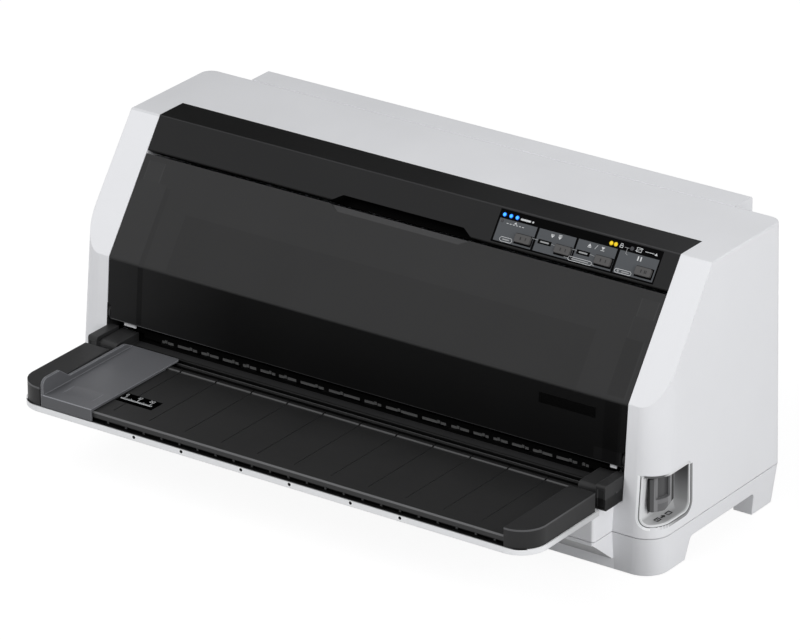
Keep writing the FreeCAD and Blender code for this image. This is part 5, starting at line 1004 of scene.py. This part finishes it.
# A small raised mark on each button, which moves with it
BUTTON_TOP = 1.8
MARK_LOW = BUTTON_TOP + 0.02
MARK_HIGH = BUTTON_TOP + 0.12
MARK_HALF_S = 1.2
BUTTON_STROKES = ((-2.0, -1.2), (2.6, 3.2))
LAST_BUTTON_STROKES = BUTTON_STROKES + ((1.2, 2.0),)


def button_mark(x, strokes):
    def build(bm):
        for left, right_end in strokes:
            slab(bm, bar(x + left, BUTTON_S - MARK_HALF_S, x + right_end, BUTTON_S + MARK_HALF_S),
                 MARK_LOW, MARK_HIGH, slope_point)
    return build


for index, x in enumerate(buttons):
    strokes = LAST_BUTTON_STROKES if x == buttons[-1] else BUTTON_STROKES
    piece("button_mark_%d" % (index + 1), button_mark(x, strokes), pictogram_ink,
          body="button_%d" % (index + 1))


# Scale on the table's label, with plain numbers whose strokes join points of a small grid
PAPER_Z = 70.0
PRINT_LOW = 0.02
PRINT_HIGH = 0.08
SCALE_LEFT = -162.6
SCALE_Y = -82.5
SCALE_LINE = 0.6
TICK_PITCH = 1.2
TICK_COUNT = 25
TICK_HALF = 0.22
TICK_SHORT, TICK_MIDDLE, TICK_LONG = 1.5, 2.6, 5.2
FIRST_LONG_TICK = 2
NUMBERS = (("0", -161.2), ("10", -149.6), ("20", -137.6))
NUMBER_Y = -76.6
DIGIT_PITCH = 2.4
DIGIT_OFFSET = 0.8
GRID_WIDE = 1.5
GRID_HIGH = 1.4
STROKE_HALF = 0.25
SEGMENTS = {"top": (0, 2, 1, 2), "upper_left": (0, 1, 0, 2), "upper_right": (1, 1, 1, 2),
            "middle": (0, 1, 1, 1), "lower_left": (0, 0, 0, 1), "lower_right": (1, 0, 1, 1),
            "low": (0, 0, 1, 0)}
DIGITS = {"0": ("top", "upper_left", "upper_right", "lower_left", "lower_right", "low"),
          "1": ("upper_right", "lower_right"),
          "2": ("top", "upper_right", "middle", "lower_left", "low")}


def table_point(x, y, h):
    return Vector((x, y + SHIFT_Y, PAPER_Z + h)) * MM


def printed(bm, x0, y0, x1, y1):
    slab(bm, bar(x0, y0, x1, y1), PRINT_LOW, PRINT_HIGH, table_point)


def scale_ticks(bm):
    printed(bm, SCALE_LEFT, SCALE_Y - SCALE_LINE, SCALE_LEFT + TICK_PITCH * (TICK_COUNT - 1),
            SCALE_Y)
    for i in range(TICK_COUNT):
        from_long = i - FIRST_LONG_TICK
        long = TICK_SHORT if from_long % 5 else TICK_MIDDLE if from_long % 10 else TICK_LONG
        x = SCALE_LEFT + TICK_PITCH * i
        printed(bm, x - TICK_HALF, SCALE_Y, x + TICK_HALF, SCALE_Y + long)


def scale_numbers(bm):
    for text, x in NUMBERS:
        for place, digit in enumerate(text):
            left = x + DIGIT_PITCH * (place - (len(text) - 1) / 2) - DIGIT_OFFSET
            for name in DIGITS[digit]:
                x0, y0, x1, y1 = SEGMENTS[name]
                printed(bm, left + GRID_WIDE * x0 - STROKE_HALF,
                        NUMBER_Y + GRID_HIGH * y0 - STROKE_HALF,
                        left + GRID_WIDE * x1 + STROKE_HALF,
                        NUMBER_Y + GRID_HIGH * y1 + STROKE_HALF)


piece("scale_ticks", scale_ticks, mark_material)
piece("scale_numbers", scale_numbers, mark_material)


# Pictograms on the lever pocket's floor: a sheet with a dot, an arrow and a sheet
POCKET_FLOOR_Z = 44.5
POCKET_FLOOR_RADIUS = 6.5
POCKET_CURVE_X = 264.6
POCKET_INK = (0.05, 0.2)
POCKET_LINE = 0.8


def pocket_point(x, y, h):
    """A point over the floor, which curves up at its left."""
    run = min(max(POCKET_CURVE_X - x, 0.0), POCKET_FLOOR_RADIUS)
    rise = POCKET_FLOOR_RADIUS - math.sqrt(POCKET_FLOOR_RADIUS ** 2 - run ** 2)
    return Vector((x, y + SHIFT_Y, POCKET_FLOOR_Z + rise + h)) * MM


def pocket_marks(bm):
    for box in ((262.2, 13.4, 266.2, 19.0), (262.6, 28.0, 266.6, 33.8)):
        box_line(bm, *box, POCKET_LINE, *POCKET_INK, pocket_point)
    for outline in (bar(263.6, 15.6, 264.8, 16.8), bar(263.6, 20.8, 265.2, 23.4),
                    [(262.4, 23.4), (266.4, 23.4), (264.4, 26.2)]):
        slab(bm, outline, *POCKET_INK, pocket_point)


piece("pocket_marks", pocket_marks, pictogram_ink)


# Border round the lever pocket, on the casing's rounded corner, with painted light and shade
# standing for the opening's bevel
SEAM_Z = 33.25
CASING_HALF = 273.0
SIDE_DRAFT_SHARE = 0.0168
FRONT_LEAN_SHARE = 0.0788
CORNER_RADIUS = 20.0
POCKET_LEFT_X = 256.6
POCKET_REAR_Y = 48.3
POCKET_LOW_Z = 43.0
POCKET_HIGH_Z = 83.3
BORDER_HIGH_Z = 80.6
POCKET_RADIUS = 8.0
BORDER_FOOT, BORDER_OUTER, BORDER_INNER = -0.1, 0.02, 0.05
EDGE_STEPS = 8
FOOT_START_Y = 5.0
FOOT_STEPS = 12


def corner_point(place, z, out, by_depth):
    """A point above the corner: at a place across, or along the side where by_depth is set."""
    half = CASING_HALF - SIDE_DRAFT_SHARE * (z - SEAM_Z)
    centre_x = half - CORNER_RADIUS
    centre_y = FRONT_LEAN_SHARE * (z - SEAM_Z) + CORNER_RADIUS
    if by_depth:
        angle = math.acos(min(1.0, max(0.0, (centre_y - place) / CORNER_RADIUS)))
        y = max(place, centre_y - CORNER_RADIUS * math.cos(angle))
    else:
        angle = math.asin(min(1.0, (place - centre_x) / CORNER_RADIUS))
        y = centre_y - CORNER_RADIUS * math.cos(angle)
    x = centre_x + CORNER_RADIUS * math.sin(angle)
    return Vector((x + out * math.sin(angle), y - out * math.cos(angle) + SHIFT_Y, z)) * MM


def pocket_outline(spread):
    """Down the pocket's left edge, along its foot and up its right edge."""
    left = POCKET_LEFT_X - spread
    rear = POCKET_REAR_Y + spread
    radius = POCKET_RADIUS + spread
    bend_z = POCKET_LOW_Z + POCKET_RADIUS
    bend_x = POCKET_LEFT_X + POCKET_RADIUS
    bend_y = POCKET_REAR_Y - POCKET_RADIUS
    path = [(left, POCKET_HIGH_Z - (POCKET_HIGH_Z - bend_z) * i / EDGE_STEPS, False)
            for i in range(EDGE_STEPS)]
    turns = [math.pi / 2 * i / EDGE_STEPS for i in range(EDGE_STEPS + 1)]
    path += [(bend_x - radius * math.cos(turn), bend_z - radius * math.sin(turn), False)
             for turn in turns]
    path += [(FOOT_START_Y + (bend_y - FOOT_START_Y) * i / FOOT_STEPS, POCKET_LOW_Z - spread, True)
             for i in range(1, FOOT_STEPS)]
    path += [(bend_y + radius * math.sin(turn), bend_z - radius * math.cos(turn), True)
             for turn in turns]
    path += [(rear, bend_z + (BORDER_HIGH_Z - bend_z) * i / EDGE_STEPS, True)
             for i in range(1, EDGE_STEPS + 1)]
    return path


def pocket_border(inner, outer):
    """A closed strip between two distances from the pocket's edge, highest on its inner side."""
    def build(bm):
        rows = [[bm.verts.new(corner_point(place, z, out, by_depth))
                 for place, z, by_depth in pocket_outline(spread)]
                for spread, out in ((outer, BORDER_FOOT), (outer, BORDER_OUTER),
                                    (inner, BORDER_INNER), (inner, BORDER_FOOT))]
        for i in range(len(rows[0]) - 1):
            for k in range(4):
                m = (k + 1) % 4
                bm.faces.new((rows[k][i], rows[k][i + 1], rows[m][i + 1], rows[m][i]))
        bm.faces.new([row[0] for row in rows])
        bm.faces.new([row[-1] for row in rows][::-1])
    return build


def border_material():
    """White at the left and in shade round the foot and up the right, painted as the light and
    shade on the opening's bevel.
    """
    n = surface("pocket_border", (0.93, 0.935, 0.95), 0.45, specular=0.3, vary=0.01)
    n.tone(n.fade("depth", 4.0 + SHIFT_Y, 30.0 + SHIFT_Y, 1.0, 0.27))
    return n.material


piece("pocket_border", pocket_border(0.5, 2.8), border_material())
piece("pocket_groove", pocket_border(-0.1, 0.5), groove_material)


# Bar over the front slot with a row of grey guides, each made of three blocks
BAR_FRONT_Y = 14.2
BAR_THICK = 0.8
BAR_TOP_Z = 78.6
BAR_MIDDLE_Z = 75.9
BAR_LOW_Z = 72.3
BAR_HALF = 229.7
BAR_LOW_HALF = 213.0
DASH_SHIFT = 4.5
DASH_LOW_Z, DASH_HIGH_Z = 72.4, 74.5
TALL_LOW_Z, TALL_HIGH_Z = 72.8, 75.3
DASH_OUT = (0.02, 0.3)
# Where a dash splits into its blocks, by turns
SPLIT_SHARES = (0.45, 0.74)
TALL_WIDE = 2.2
GAP_BEFORE = 0.2
GAP_AFTER = 0.8
dashes = ((-199.7, -188.9), (-184.5, -166.0), (-161.6, -145.1), (-140.8, -125.8), (-121.4, -108.9),
          (-104.6, -90.7), (-86.9, -70.7), (-66.4, -44.5), (-39.5, -10.6), (-5.9, 9.4),
          (14.1, 43.2), (47.9, 69.6), (74.7, 90.8), (95.0, 108.7), (113.3, 126.1),
          (130.2, 145.2), (149.3, 166.5), (170.5, 189.0), (193.5, 199.4))


def front_point(a, b, h):
    """A point in front of the slot's bar: across, up and out towards the front."""
    return Vector((a, BAR_FRONT_Y - h + SHIFT_Y, b)) * MM


def slot_bar(bm):
    for half, low, high in ((BAR_HALF, BAR_MIDDLE_Z, BAR_TOP_Z),
                            (BAR_LOW_HALF, BAR_LOW_Z, BAR_MIDDLE_Z)):
        slab(bm, bar(-half, low, half, high), -BAR_THICK, 0.0, front_point)


def slot_dashes(bm):
    for index, span in enumerate(dashes):
        left, right_end = (end + DASH_SHIFT for end in span)
        split = left + (right_end - left) * SPLIT_SHARES[index % 2]
        for block in (bar(left, DASH_LOW_Z, split - TALL_WIDE - GAP_BEFORE, DASH_HIGH_Z),
                      bar(split - TALL_WIDE, TALL_LOW_Z, split, TALL_HIGH_Z),
                      bar(split + GAP_AFTER, DASH_LOW_Z, right_end, DASH_HIGH_Z)):
            slab(bm, block, *DASH_OUT, front_point)


piece("slot_bar", slot_bar, deep_black)
piece("slot_guides", slot_dashes, dash_material)


# White tabs at the ends of the cover's foot, which swing with it
TAB_LOW_Z = 82.3
TAB_HIGH_Z = 86.3
TAB_SPANS = ((-226.4, -215.2), (228.0, 233.6))
TAB_OUT = (7.0, 8.2)


def cover_tabs(bm):
    for left, right_end in TAB_SPANS:
        slab(bm, bar(left, TAB_LOW_Z, right_end, TAB_HIGH_Z), *TAB_OUT, front_point)


piece("cover_tabs", cover_tabs, slot_materials["white_casing"], body="cover")


# Black bosses round the cover's hinge pins
HINGE_Y = 14.0
HINGE_Z = 90.0
BOSS_RADIUS = 9.0
BOSS_BORE = 4.4
BOSS_SPANS = ((-241.9, -239.4), (239.4, 241.9))


def hinge_point(a, b, h):
    """A point beside the hinge: along y, up and across."""
    return Vector((h, a + SHIFT_Y, b)) * MM


def hinge_bosses(bm):
    for span in BOSS_SPANS:
        ring(bm, oval(HINGE_Y, HINGE_Z, BOSS_RADIUS, BOSS_RADIUS),
             oval(HINGE_Y, HINGE_Z, BOSS_BORE, BOSS_BORE), *span, hinge_point)


piece("hinge_bosses", hinge_bosses, slot_materials["black_plastic"])


# Painted shade: dark fills in the tray's rim holes
RIM_FILL_RADIUS = 1.06
RIM_FILL_STEPS = 16
RIM_FILL_OUT = (-1.3, -0.15)


def rim_point(a, b, h):
    """A point in front of the tray's rim: across, up and out towards the front."""
    return Vector((a, TRAY_FRONT_Y - h + SHIFT_Y, b)) * MM


def rim_holes(bm):
    for place in rim_hole_places():
        outline = oval(place.x / MM, RIM_HOLE_Z, RIM_FILL_RADIUS, RIM_FILL_RADIUS, RIM_FILL_STEPS)
        slab(bm, outline, *RIM_FILL_OUT, rim_point)


piece("rim_hole_shade_fills", rim_holes, deep_black)
